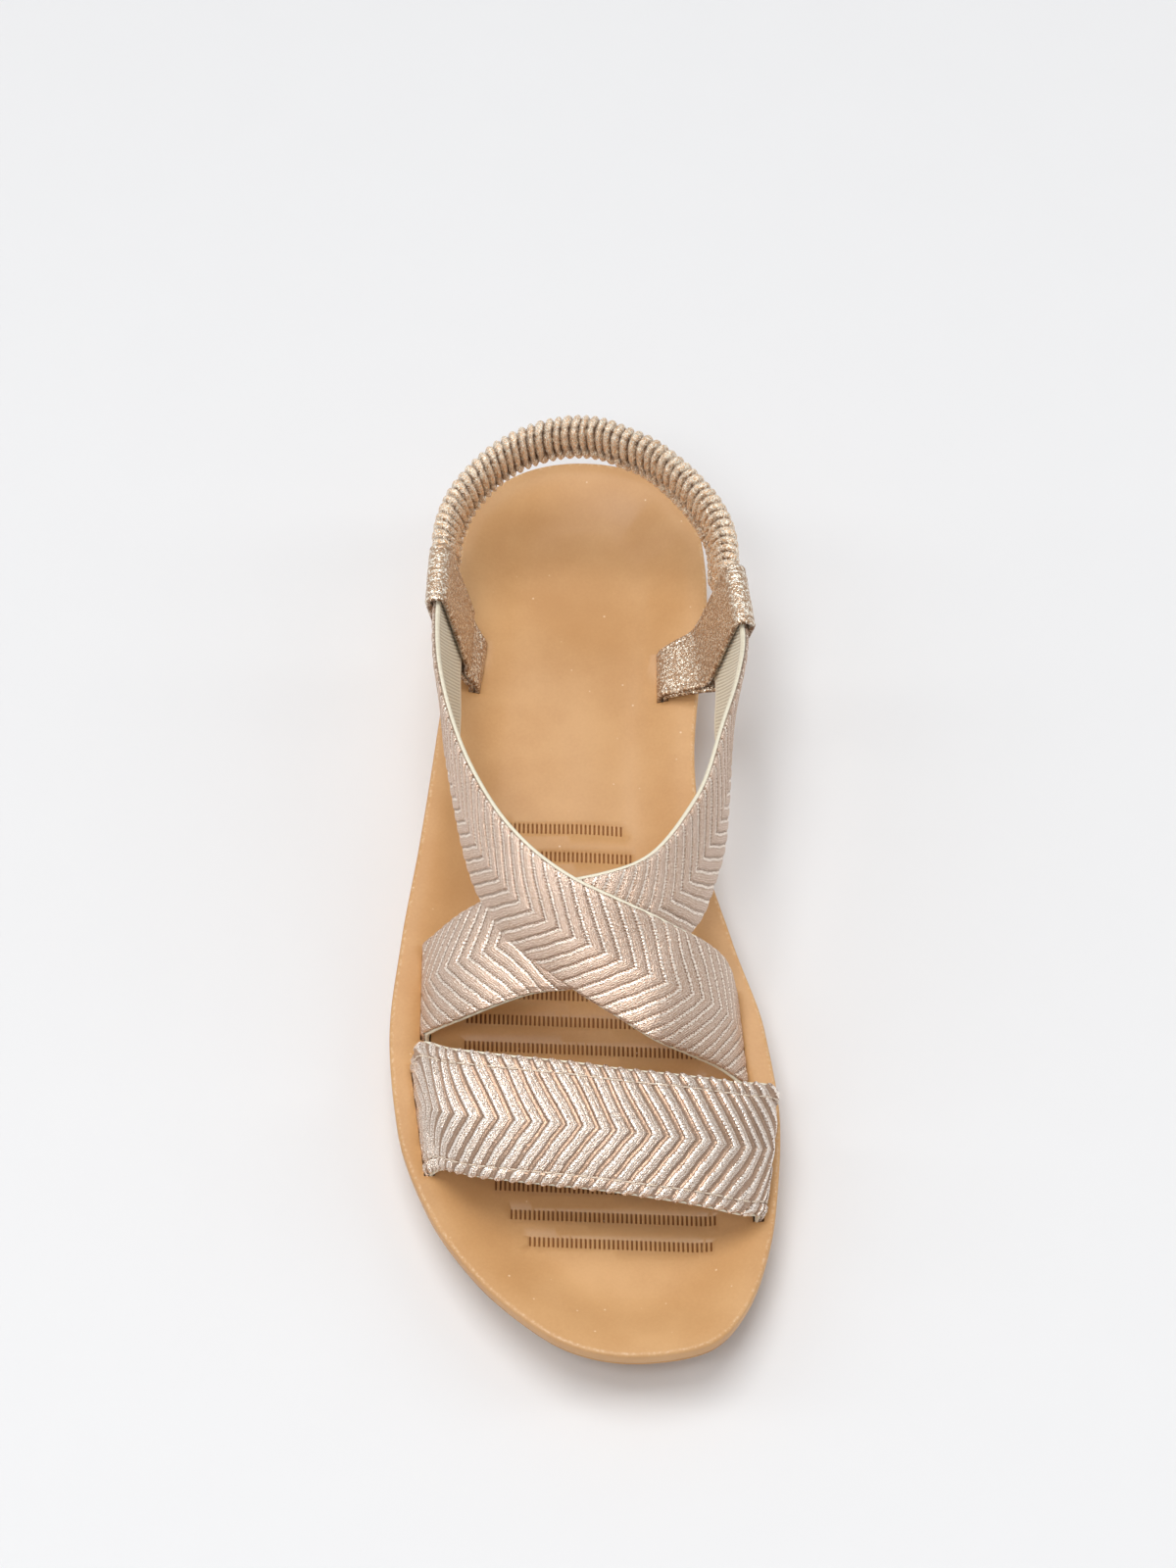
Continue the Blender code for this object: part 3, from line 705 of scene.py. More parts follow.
@dataclass(frozen=True)
class GlitterCloth:
    """Metallic knitted cloth with a bright glitter of tiny facets, painted as glints on its raised folds,
    and painted shade in its creases.
    """

    # light is the colour of the painted glints
    light: Colour = (1.0, 0.92, 0.78)
    mid: Colour = (0.72, 0.45, 0.25)
    # dark is the colour of the painted shade in the creases
    dark: Colour = (0.16, 0.072, 0.028)
    metallic: float = 0.60
    sparkle: float = 0.80
    loop_size: float = 0.40 * MM
    facet_size: float = 0.36 * MM
    crinkle_size: float = 0.42 * MM
    clump_size: float = 0.85 * MM

    def made(self, name: str) -> bpy.types.Material:
        """Makes the material, with painted glints on the folds and painted shade between them.

        Args:
            name: the material's name.

        Returns:
            The material.
        """
        g = Graph(bpy.data.materials.new(name))
        at = g.cloth()
        loops = g.cells(at, self.loop_size)
        facets = g.cells(at, self.facet_size, "F1", "Color")
        crinkle = g.noise(at, self.crinkle_size, 2.0, 0.65)
        flash = Sock(g, g.node("ShaderNodeSeparateColor", {}, {0: facets}).outputs[0])
        clumps = g.noise(at, self.clump_size, 2.0, 0.6)
        raised = g.relief()
        # painted shade: darker where the relief is low, in the creases between gathers, at the pinches and
        # along the seams
        body = g.mix(raised.step(0.30, 0.88), self.dark, self.mid)
        glint = flash * 0.45 + crinkle * 0.70 + clumps * 0.90 - self.sparkle
        # painted glints: bright facets, only on the raised folds
        painted_sparkle = glint.step(0.08, 0.34) * raised.step(0.05, 0.60)
        colour = g.mix(painted_sparkle, body, self.light)
        rough = 0.48 - flash * 0.26
        normal = g.bump(crinkle * 0.22 - loops * 0.18, MM)
        return g.dress(Base_Color=colour, Roughness=rough, Metallic=self.metallic, Normal=normal)


@dataclass(frozen=True)
class RibKnit:
    """Cream knitted lining with fine diagonal ribs and painted shade between them."""

    light: Colour = (0.92, 0.87, 0.70)
    # dark is the colour of the painted shade between the ribs
    dark: Colour = (0.50, 0.41, 0.27)
    sheen: float = 0.25
    yarn_size: float = 0.35 * MM

    def made(self, name: str) -> bpy.types.Material:
        """Makes the material.

        Args:
            name: the material's name.

        Returns:
            The material.
        """
        g = Graph(bpy.data.materials.new(name))
        yarn = g.noise(g.cloth(), self.yarn_size, 2.0, 0.6)
        # painted shade between the ribs, where the relief is low, mixed with the yarn's own uneven tone
        shade = (g.relief() * 0.8 + yarn * 0.5 - 0.1).step(0.0, 1.0)
        colour = g.mix(shade, self.dark, self.light)
        normal = g.bump(yarn, 0.12 * MM, 0.8)
        rough = 0.85 - yarn * 0.1
        return g.dress(Base_Color=colour, Roughness=rough, Sheen_Weight=self.sheen, Normal=normal)


@dataclass(frozen=True)
class TanSoleSkin:
    """Smooth caramel synthetic leather with a faint mottle, fine grain and sparse pale specks."""

    base: Colour = (0.68, 0.395, 0.175)
    deep: Colour = (0.55, 0.285, 0.105)
    # speck is the colour of the sparse pale specks and also of the painted highlight on the rolled rim
    speck_and_rim_highlight: Colour = (0.86, 0.66, 0.44)
    # pit is the colour of the painted shade in the slots and vents
    slot_floor_shade: Colour = (0.30, 0.125, 0.032)
    roughness: float = 0.46
    mottle_size: float = 30 * MM
    grain_size: float = 0.7 * MM
    speck_pitch: float = 4.2 * MM
    patch_size: float = 7 * MM
    edge_size: float = 0.8 * MM

    def made(self, name: str) -> bpy.types.Material:
        """Makes the material, with a painted highlight on the rolled rim and painted shade in the slots.

        Args:
            name: the material's name.

        Returns:
            The material.
        """
        g = Graph(bpy.data.materials.new(name))
        at = g.place()
        mottle = g.noise(at, self.mottle_size, 3.0, 0.55)
        grain = g.noise(at, self.grain_size, 2.0, 0.6)
        specks = 1 - g.cells(at, self.speck_pitch).step(0.035, 0.085)
        dust = specks * g.noise(at, self.patch_size, 1.0).step(0.50, 0.56)
        tone = (mottle * 0.9 + grain * 0.2 - 0.1).step(0.22, 0.78)
        worn = g.mix(tone, self.deep, self.base)
        # painted highlight: a broken pale line along the rolled rim, where the relief is high
        lit = g.relief().step(0.3, 1.0) * g.noise(at, self.edge_size, 2.0).step(0.42, 0.70)
        edged = g.mix(lit * 0.55, worn, self.speck_and_rim_highlight)
        # painted shade in the slots and vents, darkest at their floors where the relief is -1
        slot_shaded = g.mix((g.relief() * -1).step(0.05, 0.8), edged, self.slot_floor_shade)
        colour = g.mix(dust * 0.75, slot_shaded, self.speck_and_rim_highlight)
        rough = self.roughness + grain * 0.10 - dust * 0.15
        normal = g.bump(grain, 0.030 * MM, 0.6)
        return g.dress(Base_Color=colour, Roughness=rough, Normal=normal)


@dataclass(frozen=True)
class Thread:
    """Twisted pale sewing thread."""

    light: Colour = (0.80, 0.70, 0.58)
    dark: Colour = (0.62, 0.50, 0.38)
    fibre_size: float = 0.25 * MM

    def made(self, name: str) -> bpy.types.Material:
        """Makes the material.

        Args:
            name: the material's name.

        Returns:
            The material.
        """
        g = Graph(bpy.data.materials.new(name))
        fibre = g.noise(g.place(), self.fibre_size, 2.0)
        tone = g.mix(fibre, self.dark, self.light)
        normal = g.bump(fibre, 0.05 * MM)
        return g.dress(Base_Color=tone, Roughness=0.55 + fibre * 0.2, Metallic=0.25, Normal=normal)


@dataclass
class SoleForm:
    """The shared outline and heights of footbed and outsole, and the scale of all tables."""

    length: float = 0.242
    ball_half: float = 0.0461
    heel_half: float = 0.031
    heel_rise: float = 0.025
    instep_rise: float = 0.065
    bed: float = 0.0045
    seam: float = 0.0003
    lip: float = 0.0022
    bank: float = 0.0155
    ridge: float = 0.0012
    ridge_half: float = 0.009
    ridge_at: float = 0.33
    ridge_reach: float = 0.14
    spine_ends: float = 1.9
    fine_count: int = 480
    batch: int = 4000

    def __post_init__(self) -> None:
        """Works out the fine outline that distances are measured to."""
        self.fine = self.ring(self.fine_count)[0]

    def placed(self, shares: Array) -> Array:
        """Points in metres, from shares across, along and up."""
        scale = np.array([self.ball_half, -self.length, self.instep_rise])
        return shares * scale + np.array([0, self.length / 2, 0])

    def sides(self, turn: Array) -> tuple[Array, Array, Array]:
        """Finds both sides of the outline.

        Args:
            turn: places along it, from 0 at the heel to pi at the toe.

        Returns:
            The lateral and the medial edge, and the share along.
        """
        rows = [(math.acos(1 - 2 * along), lateral, medial) for along, lateral, medial in OUTLINE]
        edges = through(rows, turn) * self.ball_half
        return edges[..., 0], edges[..., 1], (1 - np.cos(turn)) / 2

    def ring(self, count: int) -> tuple[Array, Array]:
        """Draws the outline.

        Args:
            count: points on each side.

        Returns:
            Its points, and the points of the spine that they face.
        """
        turn = np.linspace(0, math.pi, count + 1)
        lateral, medial, along = self.sides(turn)
        y = self.length * (0.5 - along)
        spine_y = y * (1 - self.spine_ends * self.heel_half / self.length)
        spine_lateral, spine_medial, _ = self.sides(np.arccos(np.clip(2 * spine_y / self.length, -1, 1)))
        spine_x = (spine_lateral + spine_medial) / 2
        back = slice(-2, 0, -1)
        edge = (np.concatenate([medial, lateral[back]]), np.concatenate([y, y[back]]))
        spine = (np.concatenate([spine_x, spine_x[back]]), np.concatenate([spine_y, spine_y[back]]))
        return np.stack(edge, axis=1), np.stack(spine, axis=1)

    def inset(self, count: int, depth: float) -> Array:
        """Draws the outline in.

        Args:
            count: points on each side.
            depth: how far in.

        Returns:
            Its points.
        """
        edge, spine = self.ring(count)
        reach = np.hypot(*(spine - edge).T)
        return edge + (spine - edge) * (depth / reach)[:, None]

    def from_edge(self, at: Array) -> Array:
        """Measures how far inside the outline points lie.

        Args:
            at: the points, seen from above.

        Returns:
            Each one's distance.
        """
        found = np.empty(len(at))
        for start in range(0, len(at), self.batch):
            part = at[start : start + self.batch, None]
            away = np.hypot(part[..., 0] - self.fine[None, :, 0], part[..., 1] - self.fine[None, :, 1])
            found[start : start + self.batch] = away.min(axis=1)
        return found

    def heights(self, y: Array) -> Array:
        """Ground side, seat and rim at each y."""
        return through(PROFILE, np.clip(0.5 - y / self.length, 0, 1)) * self.heel_rise

    def bed_top(self, at: Array) -> Array:
        """Works out the footbed's face: a rim, a bank down from it, the seat and a low ridge.

        Args:
            at: places, seen from above.

        Returns:
            The height at each.
        """
        at = np.atleast_2d(at)
        _, seat, rim = self.heights(at[:, 1]).T
        bank = np.clip((self.from_edge(at) - self.lip) / self.bank, 0, 1)
        along = 0.5 - at[:, 1] / self.length
        reach = np.clip(1 - ((along - self.ridge_at) / self.ridge_reach) ** 2, 0, 1)
        ridge = self.ridge * np.exp(-((at[:, 0] / self.ridge_half) ** 2)) * reach
        return seat + (rim - seat) * (1 + np.cos(math.pi * bank)) / 2 + ridge

    def bed_under(self, at: Array) -> Array:
        """Height of the footbed's underside."""
        return self.bed_top(at) - self.bed

    def ground(self, at: Array) -> Array:
        """Height of the sole's ground side."""
        return self.heights(np.atleast_2d(at)[:, 1])[:, 0]


class Plan:
    """A face seen from above, cut into triangles round the outlines that are drawn on it."""

    def __init__(self) -> None:
        """Starts with nothing drawn."""
        self.at: list[tuple[float, float]] = []
        self.depth: list[float] = []
        self.mark: list[float] = []
        self.lines: list[tuple[int, int]] = []

    def loop(self, corners: Array, depth: float = 0.0, mark: float = 0.0) -> None:
        """Draws a closed outline.

        Args:
            corners: its corners.
            depth: how far below the face it lies.
            mark: its relief.
        """
        first, count = len(self.at), len(corners)
        self.scatter(corners, depth, mark)
        self.lines += [(first + i, first + (i + 1) % count) for i in range(count)]

    def scatter(self, points: Array, depth: float = 0.0, mark: float = 0.0) -> None:
        """Adds loose points.

        Args:
            points: the points.
            depth: how far below the face they lie.
            mark: their relief.
        """
        self.at += [(float(x), float(y)) for x, y in points]
        self.depth += [depth] * len(points)
        self.mark += [mark] * len(points)

    def cut(self, inside: Array) -> tuple[Array, Array, Array, list[tuple[int, ...]]]:
        """Triangulates.

        Args:
            inside: the outline beyond which triangles are dropped.

        Returns:
            Points in plan, their depths, their marks and the triangles.
        """
        found = delaunay_2d_cdt([Vector(point) for point in self.at], self.lines, [], 0, 1e-7, True)
        at = np.array([tuple(point) for point in found[0]])
        depth = np.array([self.depth[source[0]] if source else 0.0 for source in found[3]])
        mark = np.array([self.mark[source[0]] if source else 0.0 for source in found[3]])
        faces = np.array([tuple(face) for face in found[2]])
        keep = inside_of(at[faces].mean(axis=1), inside)
        return at, depth, mark, [tuple(face) for face in faces[keep]]


@dataclass
class StrapForm:
    """The outer face of one strap, from the table of its two edges."""

    rows: Rows
    form: SoleForm
    crown: float = 0.0012
    runs_down: tuple[bool, bool] = (False, True)
    wall: float = STRAP_WALL
    end_flat: float = 0.010
    end_fade: float = 0.030
    crown_fade: float = 0.016
    foot_gap: float = 0.0002

    def sheet(self, stations: int, columns: int) -> Array:
        """Lays the face out as a grid, crowned across except at its ends.

        Args:
            stations: rows along the strap.
            columns: points from the rear edge to the front one.

        Returns:
            The grid.
        """
        edges = self.form.placed(np.array(self.rows).reshape(-1, 2, 3))
        run = run_along(edges.mean(axis=1))
        at = np.linspace(0, run[-1], stations)
        keyed = np.column_stack([run, edges.reshape(len(edges), 6)])
        found = through(keyed, at, held=False).reshape(stations, 2, 3)
        grid = blended(found[:, 0], found[:, 1], columns)
        fade = np.ones(stations)
        for end, down in zip((0, -1), self.runs_down):
            reach = np.abs(at - at[end]) - (0.0 if down else self.end_flat)
            fade *= np.clip(reach / (self.crown_fade if down else self.end_fade), 0, 1) ** 1.5
        share = np.linspace(0, 1, columns)[None, :, None]
        bulge = self.crown * (1 - (2 * share - 1) ** 2) * fade[:, None, None]
        return grid + normals_of(grid) * bulge

    def inward(self, edge: Array) -> tuple[Array, Array]:
        """Finds how a strap end stands, seen from above.

        Args:
            edge: the end's row of points.

        Returns:
            The level directions along the end, and from its outer face to its inner one.
        """
        run = unit(edge[-1, :2] - edge[0, :2])
        way = np.array([run[1], -run[0]])
        return run, -way if way @ edge.mean(axis=0)[:2] > 0 else way

    def grown(self, grid: Array, steps: int = 9) -> Array:
        """Carries the grid down into the footbed's slots.

        Args:
            grid: the strap's face.
            steps: rows that are added at each end that runs down.

        Returns:
            The longer grid.
        """
        found = grid
        for end, down in zip((0, -1), self.runs_down):
            if not down:
                continue
            edge = grid[end]
            inner = edge[:, :2] + self.inward(edge)[1] * self.wall
            foot = np.maximum(self.form.bed_under(edge[:, :2]), self.form.bed_under(inner)) + self.foot_gap
            share = np.linspace(0, 1, steps + 1)[1:, None]
            rows = np.repeat(edge[None], steps, axis=0)
            rows[:, :, 2] = edge[None, :, 2] * (1 - share) + foot[None] * share
            found = np.concatenate([rows[::-1], found]) if end == 0 else np.concatenate([found, rows])
        return found

    def slots(self, grid: Array) -> list[Array]:
        """Finds the slots that its ends stand in.

        Args:
            grid: the strap's face.

        Returns:
            The corners of each, seen from above.
        """
        found = []
        gap = self.form.seam
        for end, down in zip((0, -1), self.runs_down):
            if not down:
                continue
            edge = grid[end]
            run, way = self.inward(edge)
            a = edge[0, :2] - run * gap - way * gap
            b = edge[-1, :2] + run * gap - way * gap
            deep = way * (self.wall + 2 * gap)
            found.append(np.array([a, b, b + deep, a + deep]))
        return found


def resampled(coarse: Array, rows: int, columns: int) -> Array:
    """Reads a coarse grid of vectors smoothly at more places.

    Args:
        coarse: the coarse grid.
        rows: rows that are wanted.
        columns: columns that are wanted.

    Returns:
        The fine grid.
    """
    tall, wide = coarse.shape[:2]
    flat = np.column_stack([np.linspace(0, 1, tall), coarse.reshape(tall, -1)])
    longer = through(flat, np.linspace(0, 1, rows), held=False).reshape(rows, wide, 3)
    flat = np.column_stack([np.linspace(0, 1, wide), longer.transpose(1, 0, 2).reshape(wide, -1)])
    return through(flat, np.linspace(0, 1, columns), held=False).reshape(columns, rows, 3).transpose(1, 0, 2)


@dataclass(frozen=True)
class Tuck:
    """How the lower strap is pressed against the inside of the upper one."""

    depth: float = 0.0015
    near: float = 0.0050
    fade: float = 0.016
    smoothings: int = 3

    def shift(self, under: Array, over: Array) -> Array:
        """Finds how far each point of the lower strap moves.

        Args:
            under: the lower strap's face.
            over: the upper strap's face.

        Returns:
            One move for each point of the lower strap.
        """
        net = Piece()
        net.quads(0, *over.shape[:2])
        tree = BVHTree.FromPolygons([Vector(point) for point in over.reshape(-1, 3)], net.faces)
        shift = np.zeros_like(under)
        for place in np.ndindex(*under.shape[:2]):
            point = Vector(under[place])
            near, normal, _, _ = tree.find_nearest(point)
            normal = -normal if normal.z < 0 else normal
            aim = near - normal * self.depth
            hold = min(1.0, max(0.0, 1 - ((point - near).length - self.near) / self.fade))
            shift[place] = normal * (aim - point).dot(normal) * (hold * hold * (3 - 2 * hold))
        for _ in range(self.smoothings):
            shift[1:-1] = (shift[:-2] + 2 * shift[1:-1] + shift[2:]) / 4
            shift[:, 1:-1] = (shift[:, :-2] + 2 * shift[:, 1:-1] + shift[:, 2:]) / 4
        return shift


@dataclass
class EmbossedStrap:
    """A foil skin with a chevron relief, sewn to a ribbed knit lining."""

    name: str
    form: StrapForm
    grid_of: Any
    node: str
    pitch: float = 0.00396
    slant: float = 0.85
    twist_pitch: float = 0.00086
    first_turn: float = 40
    wander: Rows = ((0.035, 310, 190), (0.025, 760, -530))
    depth: float = 0.00034
    skin: float = 0.0010
    lip: float = 0.00035
    fine: float = 0.00032
    hem: float = 0.0
    seam_half: float = 0.00040
    seam_fade: float = 0.0006
    seam_pull: float = 0.90
    hem_rise: float = 0.25
    groove: float = 0.10
    cord: float = 0.30
    rope: float = 0.55
    knit: float = 1.0
    shoulder: float = 0.55
    level: float = 0.55
    edge: float = 0.0009
    edge_drop: float = 0.00030
    edge_in: float = 0.00015
    scallop: float = 0.0003
    lining_along: float = 0.00030
    lining_across: float = 0.00060
    rib_pitch: float = 0.00098
    rib_slant: float = 0.55
    rib_depth: float = 0.00030
    rib_from: float = 0.0008
    rib_full: float = 0.0016
    bead_in: float = 0.0005
    bead_half: float = 0.0006
    bead_depth: float = 0.00018
    layer_gap: float = 0.00002
    backing_columns: int = 9
    rough: tuple[int, int] = (40, 9)

    def laid_out(self, grid: Array) -> Array:
        """Lays the strap flat.

        Args:
            grid: its face.

        Returns:
            Where each point lies on the flat cloth, along and across.
        """
        centre = grid.shape[1] // 2
        middle = grid[:, centre]
        way = unit(np.gradient(middle, axis=0))
        off = grid - middle[:, None]
        along = (off * way[:, None]).sum(axis=2)
        across = np.sqrt(np.maximum((off**2).sum(axis=2) - along**2, 0))
        side = np.sign(np.arange(grid.shape[1]) - centre)[None, :]
        return np.stack([run_along(middle)[:, None] + along, across * side], axis=2)

    def inside(self, cloth: Array) -> Array:
        """How far inside the nearer edge each point of the flat cloth lies."""
        half = np.abs(cloth[:, [0, -1], 1]).mean(axis=1)[:, None]
        return half - np.abs(cloth[..., 1])

    def turns(self, cloth: Array) -> Array:
        """Counts the pattern's turns, with a slight wander.

        Args:
            cloth: places on the flat cloth.

        Returns:
            Turns of the chevron along the strap, and of the twist along each rib.
        """
        along, across = cloth[..., 0], cloth[..., 1]
        turn = (along + np.abs(across) * self.slant) / self.pitch + waves(self.wander, along, across)
        arm = across * math.sqrt(1 + self.slant**2) / self.twist_pitch
        return np.stack([turn, arm], axis=-1) + self.first_turn

    def relief(self, cloth: Array) -> Array:
        """Raises the chevron: a flat groove, a cord and a knitted zone in each turn.

        Args:
            cloth: places on the flat cloth.

        Returns:
            The relief, from 0 in a groove to 1 on a rib.
        """
        share = self.turns(cloth)[..., 0] % 1
        end = self.groove + self.cord
        edge = self.shoulder * self.knit
        keys = (0.0, self.groove * 0.3, self.groove * 0.75, self.groove + self.cord * 0.25)
        keys += (end - self.cord * 0.2, end + 0.12, 0.93, 1.0)
        tall = (edge, 0.0, 0.0, self.rope, self.rope, self.knit, self.knit, edge)
        found = np.interp(share, keys, tall)
        if self.hem:
            inside = self.inside(cloth)
            seam = np.exp(-(((inside - self.hem) / self.seam_half) ** 2))
            beyond = step(-inside, -self.hem, -self.hem + self.seam_fade)
            found = found * (1 - self.seam_pull * seam) + self.hem_rise * beyond
        return found

    def build(self, foil: bpy.types.Material, knit: bpy.types.Material) -> None:
        """Makes the skin and the lining.

        Args:
            foil: the skin's finish.
            knit: the lining's finish.
        """
        rough = self.grid_of(*self.rough)
        length = run_along(rough[:, self.rough[1] // 2])[-1]
        width = np.linalg.norm(rough[:, -1] - rough[:, 0], axis=1).mean()
        fine = self.grid_of(int(length / self.fine), int(width / self.fine) | 1)
        self.make_skin(self.form.grown(fine), foil)
        coarse = self.grid_of(int(length / self.lining_along), int(width / self.lining_across) | 1)
        self.make_lining(self.form.grown(coarse), knit)

    def backing(self, face: Array, cloth: Array, drop: Array, mark: float) -> tuple[Array, Array]:
        """Makes a layer's hidden side, with few columns.

        Args:
            face: the layer's grid.
            cloth: its places on the flat cloth.
            drop: how far the hidden side moves from the grid.
            mark: its relief.

        Returns:
            Its points and its marks.
        """
        few = np.linspace(0, face.shape[1] - 1, self.backing_columns).astype(int)
        points = face[:, few] + drop[:, few]
        return points, np.concatenate([cloth[:, few], np.full((*points.shape[:2], 1), mark)], axis=2)

    def make_skin(self, face: Array, foil: bpy.types.Material) -> None:
        """Makes the embossed outer layer, with rolled and slightly scalloped edges.

        Args:
            face: the strap's face as a fine grid.
            foil: the finish.
        """
        normal, cloth = normals_of(face), self.laid_out(face)
        lift = self.relief(cloth)
        firm = step(self.inside(cloth), 0.0, self.edge)
        raised = face + normal * ((lift - self.level) * self.depth * (0.4 + 0.6 * firm))[..., None]
        raised -= normal * (self.edge_drop * (1 - firm))[..., None]
        out = unit(face[:, -1] - face[:, 0])
        push = (lift[:, [0, -1]] - 0.5) * self.scallop
        left = face[:, 0] - out * push[:, :1] - normal[:, 0] * self.skin * 0.55
        right = face[:, -1] + out * push[:, 1:] - normal[:, -1] * self.skin * 0.55
        raised[:, 0] -= out * push[:, :1] * 0.6 - out * self.edge_in
        raised[:, -1] += out * push[:, 1:] * 0.6 - out * self.edge_in
        top = np.concatenate([left[:, None], raised, right[:, None]], axis=1)
        marks = widened(np.concatenate([cloth, lift[..., None]], axis=2))
        marks[:, [0, -1], 2] *= 0.6
        under, under_marks = self.backing(face, cloth, -normal * self.skin, 0.3)
        piece = Piece()
        slab(piece, top, under, marks, under_marks, self.turns(marks[..., :2]))
        piece.built(self.name + "_skin", foil, (self.node,), self.node)

    def make_lining(self, face: Array, knit: bpy.types.Material) -> None:
        """Makes the ribbed inner layer, which shows as a cream line beside the skin.

        Args:
            face: the strap's face as a grid.
            knit: the finish.
        """
        normal, cloth = normals_of(face), self.laid_out(face)
        out = unit(face[:, -1] - face[:, 0])
        wide = face.copy()
        wide[:, 0] -= out * self.lip
        wide[:, -1] += out * self.lip
        turn = (cloth[..., 0] + cloth[..., 1] * self.rib_slant) / self.rib_pitch
        inside = self.inside(cloth)
        bead = np.exp(-(((inside - self.bead_in) / self.bead_half) ** 2))
        rib = (0.5 + 0.5 * np.cos(2 * math.pi * turn)) * step(inside, self.rib_from, self.rib_full)
        wall = self.form.wall
        thick = wall - self.rib_depth + self.rib_depth * rib + self.bead_depth * bead
        edge = self.skin + (wall - self.skin) * 0.5
        left = wide[:, 0] - out * self.bead_depth - normal[:, 0] * edge
        right = wide[:, -1] + out * self.bead_depth - normal[:, -1] * edge
        low = np.concatenate([left[:, None], wide - normal * thick[..., None], right[:, None]], axis=1)
        # the relief, high on the ribs and the edge bead, sets where the lining's finish paints shade between
        # the ribs
        marks = widened(np.concatenate([cloth, np.maximum(rib, bead)[..., None]], axis=2))
        top, top_marks = self.backing(wide, cloth, -normal * (self.skin + self.layer_gap), 0.9)
        piece = Piece()
        slab(piece, low[:, ::-1], top[:, ::-1], marks[:, ::-1], top_marks[:, ::-1])
        piece.built(self.name + "_lining", knit, (self.node,), "strap_lining")


@dataclass
class StitchRow:
    """Running stitches laid along a strap at a distance from its edge."""

    name: str
    node: str
    pitch: float = 0.0027
    length: float = 0.0023
    thick: float = 0.00021
    steps: int = 7
    sides: int = 8

    def build(self, paths: list[tuple[Array, Array]], thread: bpy.types.Material) -> None:
        """Makes every stitch of the row.

        Args:
            paths: points and normals of each line that is sewn.
            thread: the finish.
        """
        piece = Piece()
        for path, normal in paths:
            run = run_along(path)
            keyed = np.column_stack([run, path, normal])
            for start in np.arange(self.pitch * 0.5, run[-1] - self.pitch, self.pitch):
                at = through(keyed, start + np.linspace(0, self.length, self.steps), held=False)
                self.stitch(piece, at[:, :3], at[:, 3:])
        piece.built(self.name, thread, (self.node,), self.node)

    def stitch(self, piece: Piece, path: Array, normal: Array) -> None:
        """Adds one stitch, a thin bent capsule whose ends dip into the leather.

        Args:
            piece: the mesh that it goes into.
            path: its middle line, on the strap's face.
            normal: the face's normals there.
        """
        way = unit(path[-1] - path[0])
        angle = np.linspace(0, 2 * math.pi, self.sides, endpoint=False)[:, None]
        rings = []
        for point, up, bow in zip(path, normal, np.sin(np.linspace(0, math.pi, len(path)))):
            side = unit(np.cross(way, up))
            size = self.thick * (0.35 + 0.65 * bow**0.5)
            middle = point + up * (self.thick * (1.1 * bow - 0.7))
            rings.append(middle + side * size * np.cos(angle) + up * size * 0.8 * np.sin(angle))
        first = piece.add(np.array(rings))
        piece.quads(first, len(path), self.sides, wrap=True, flip=True)
        last = first + (len(path) - 1) * self.sides
        piece.faces.append(tuple(range(first, first + self.sides)))
        piece.faces.append(tuple(reversed(range(last, last + self.sides))))


@dataclass(frozen=True)
class Vents:
    """Rows of small slots pressed through the footbed's cover; along, lateral end, medial end, in metres."""

    pitch: float = 0.001075
    half_width: float = 0.00027
    half_length: float = 0.00142
    shoulder: float = 0.86
    tilt: float = math.tan(math.radians(2.4))
    depth: float = 0.00075
    taper: float = 0.00009
    clear_along: float = 0.0021
    clear_across: float = 0.001
    rows: Rows = (
        (0.1024, -0.0200, 0.0093),
        (0.1096, -0.0220, 0.0120),
        (0.1168, -0.0232, 0.0150),
        (0.1240, -0.0245, 0.0180),
        (0.1312, -0.0255, 0.0205),
        (0.1384, -0.0265, 0.0230),
        (0.1456, -0.0272, 0.0250),
        (0.1524, -0.0278, 0.0265),
        (0.1595, -0.0282, 0.0280),
        (0.1667, -0.0284, 0.0295),
        (0.1739, -0.0280, 0.0310),
        (0.1812, -0.0265, 0.0320),
        (0.1884, -0.0240, 0.0324),
        (0.1956, -0.0205, 0.0320),
        (0.2030, -0.0168, 0.0309),
        (0.2100, -0.0124, 0.0297),
    )

    def draw(self, plan: Plan, length: float) -> int:
        """Draws every slot on the footbed's plan.

        Args:
            plan: the plan.
            length: the footbed's length.

        Returns:
            How many slots there are.
        """
        made = 0
        for along, lateral, medial in self.rows:
            for x in np.arange(lateral, medial, self.pitch):
                y = length / 2 - along - x * self.tilt
                plan.loop(self.slot(0.0) + (x, y))
                # the floor is marked -1, where the footbed's finish paints shade
                plan.loop(self.slot(self.taper) + (x, y), self.depth, -1.0)
                made += 1
        return made

    def slot(self, shrink: float) -> Array:
        """One slot's six corners about its middle, drawn in by an amount."""
        wide, long = self.half_width - shrink, self.half_length - shrink
        low = long * self.shoulder
        return np.array([(-wide, -low), (0, -long), (wide, -low), (wide, low), (0, long), (-wide, low)])

    def holds(self, point: Array, length: float) -> bool:
        """Whether a point of a footbed of this length lies in a row of slots."""
        along = length / 2 - point[1] - point[0] * self.tilt
        reach = self.clear_across
        return any(
            abs(along - middle) < self.clear_along and lateral - reach < point[0] < medial + reach
            for middle, lateral, medial in self.rows
        )


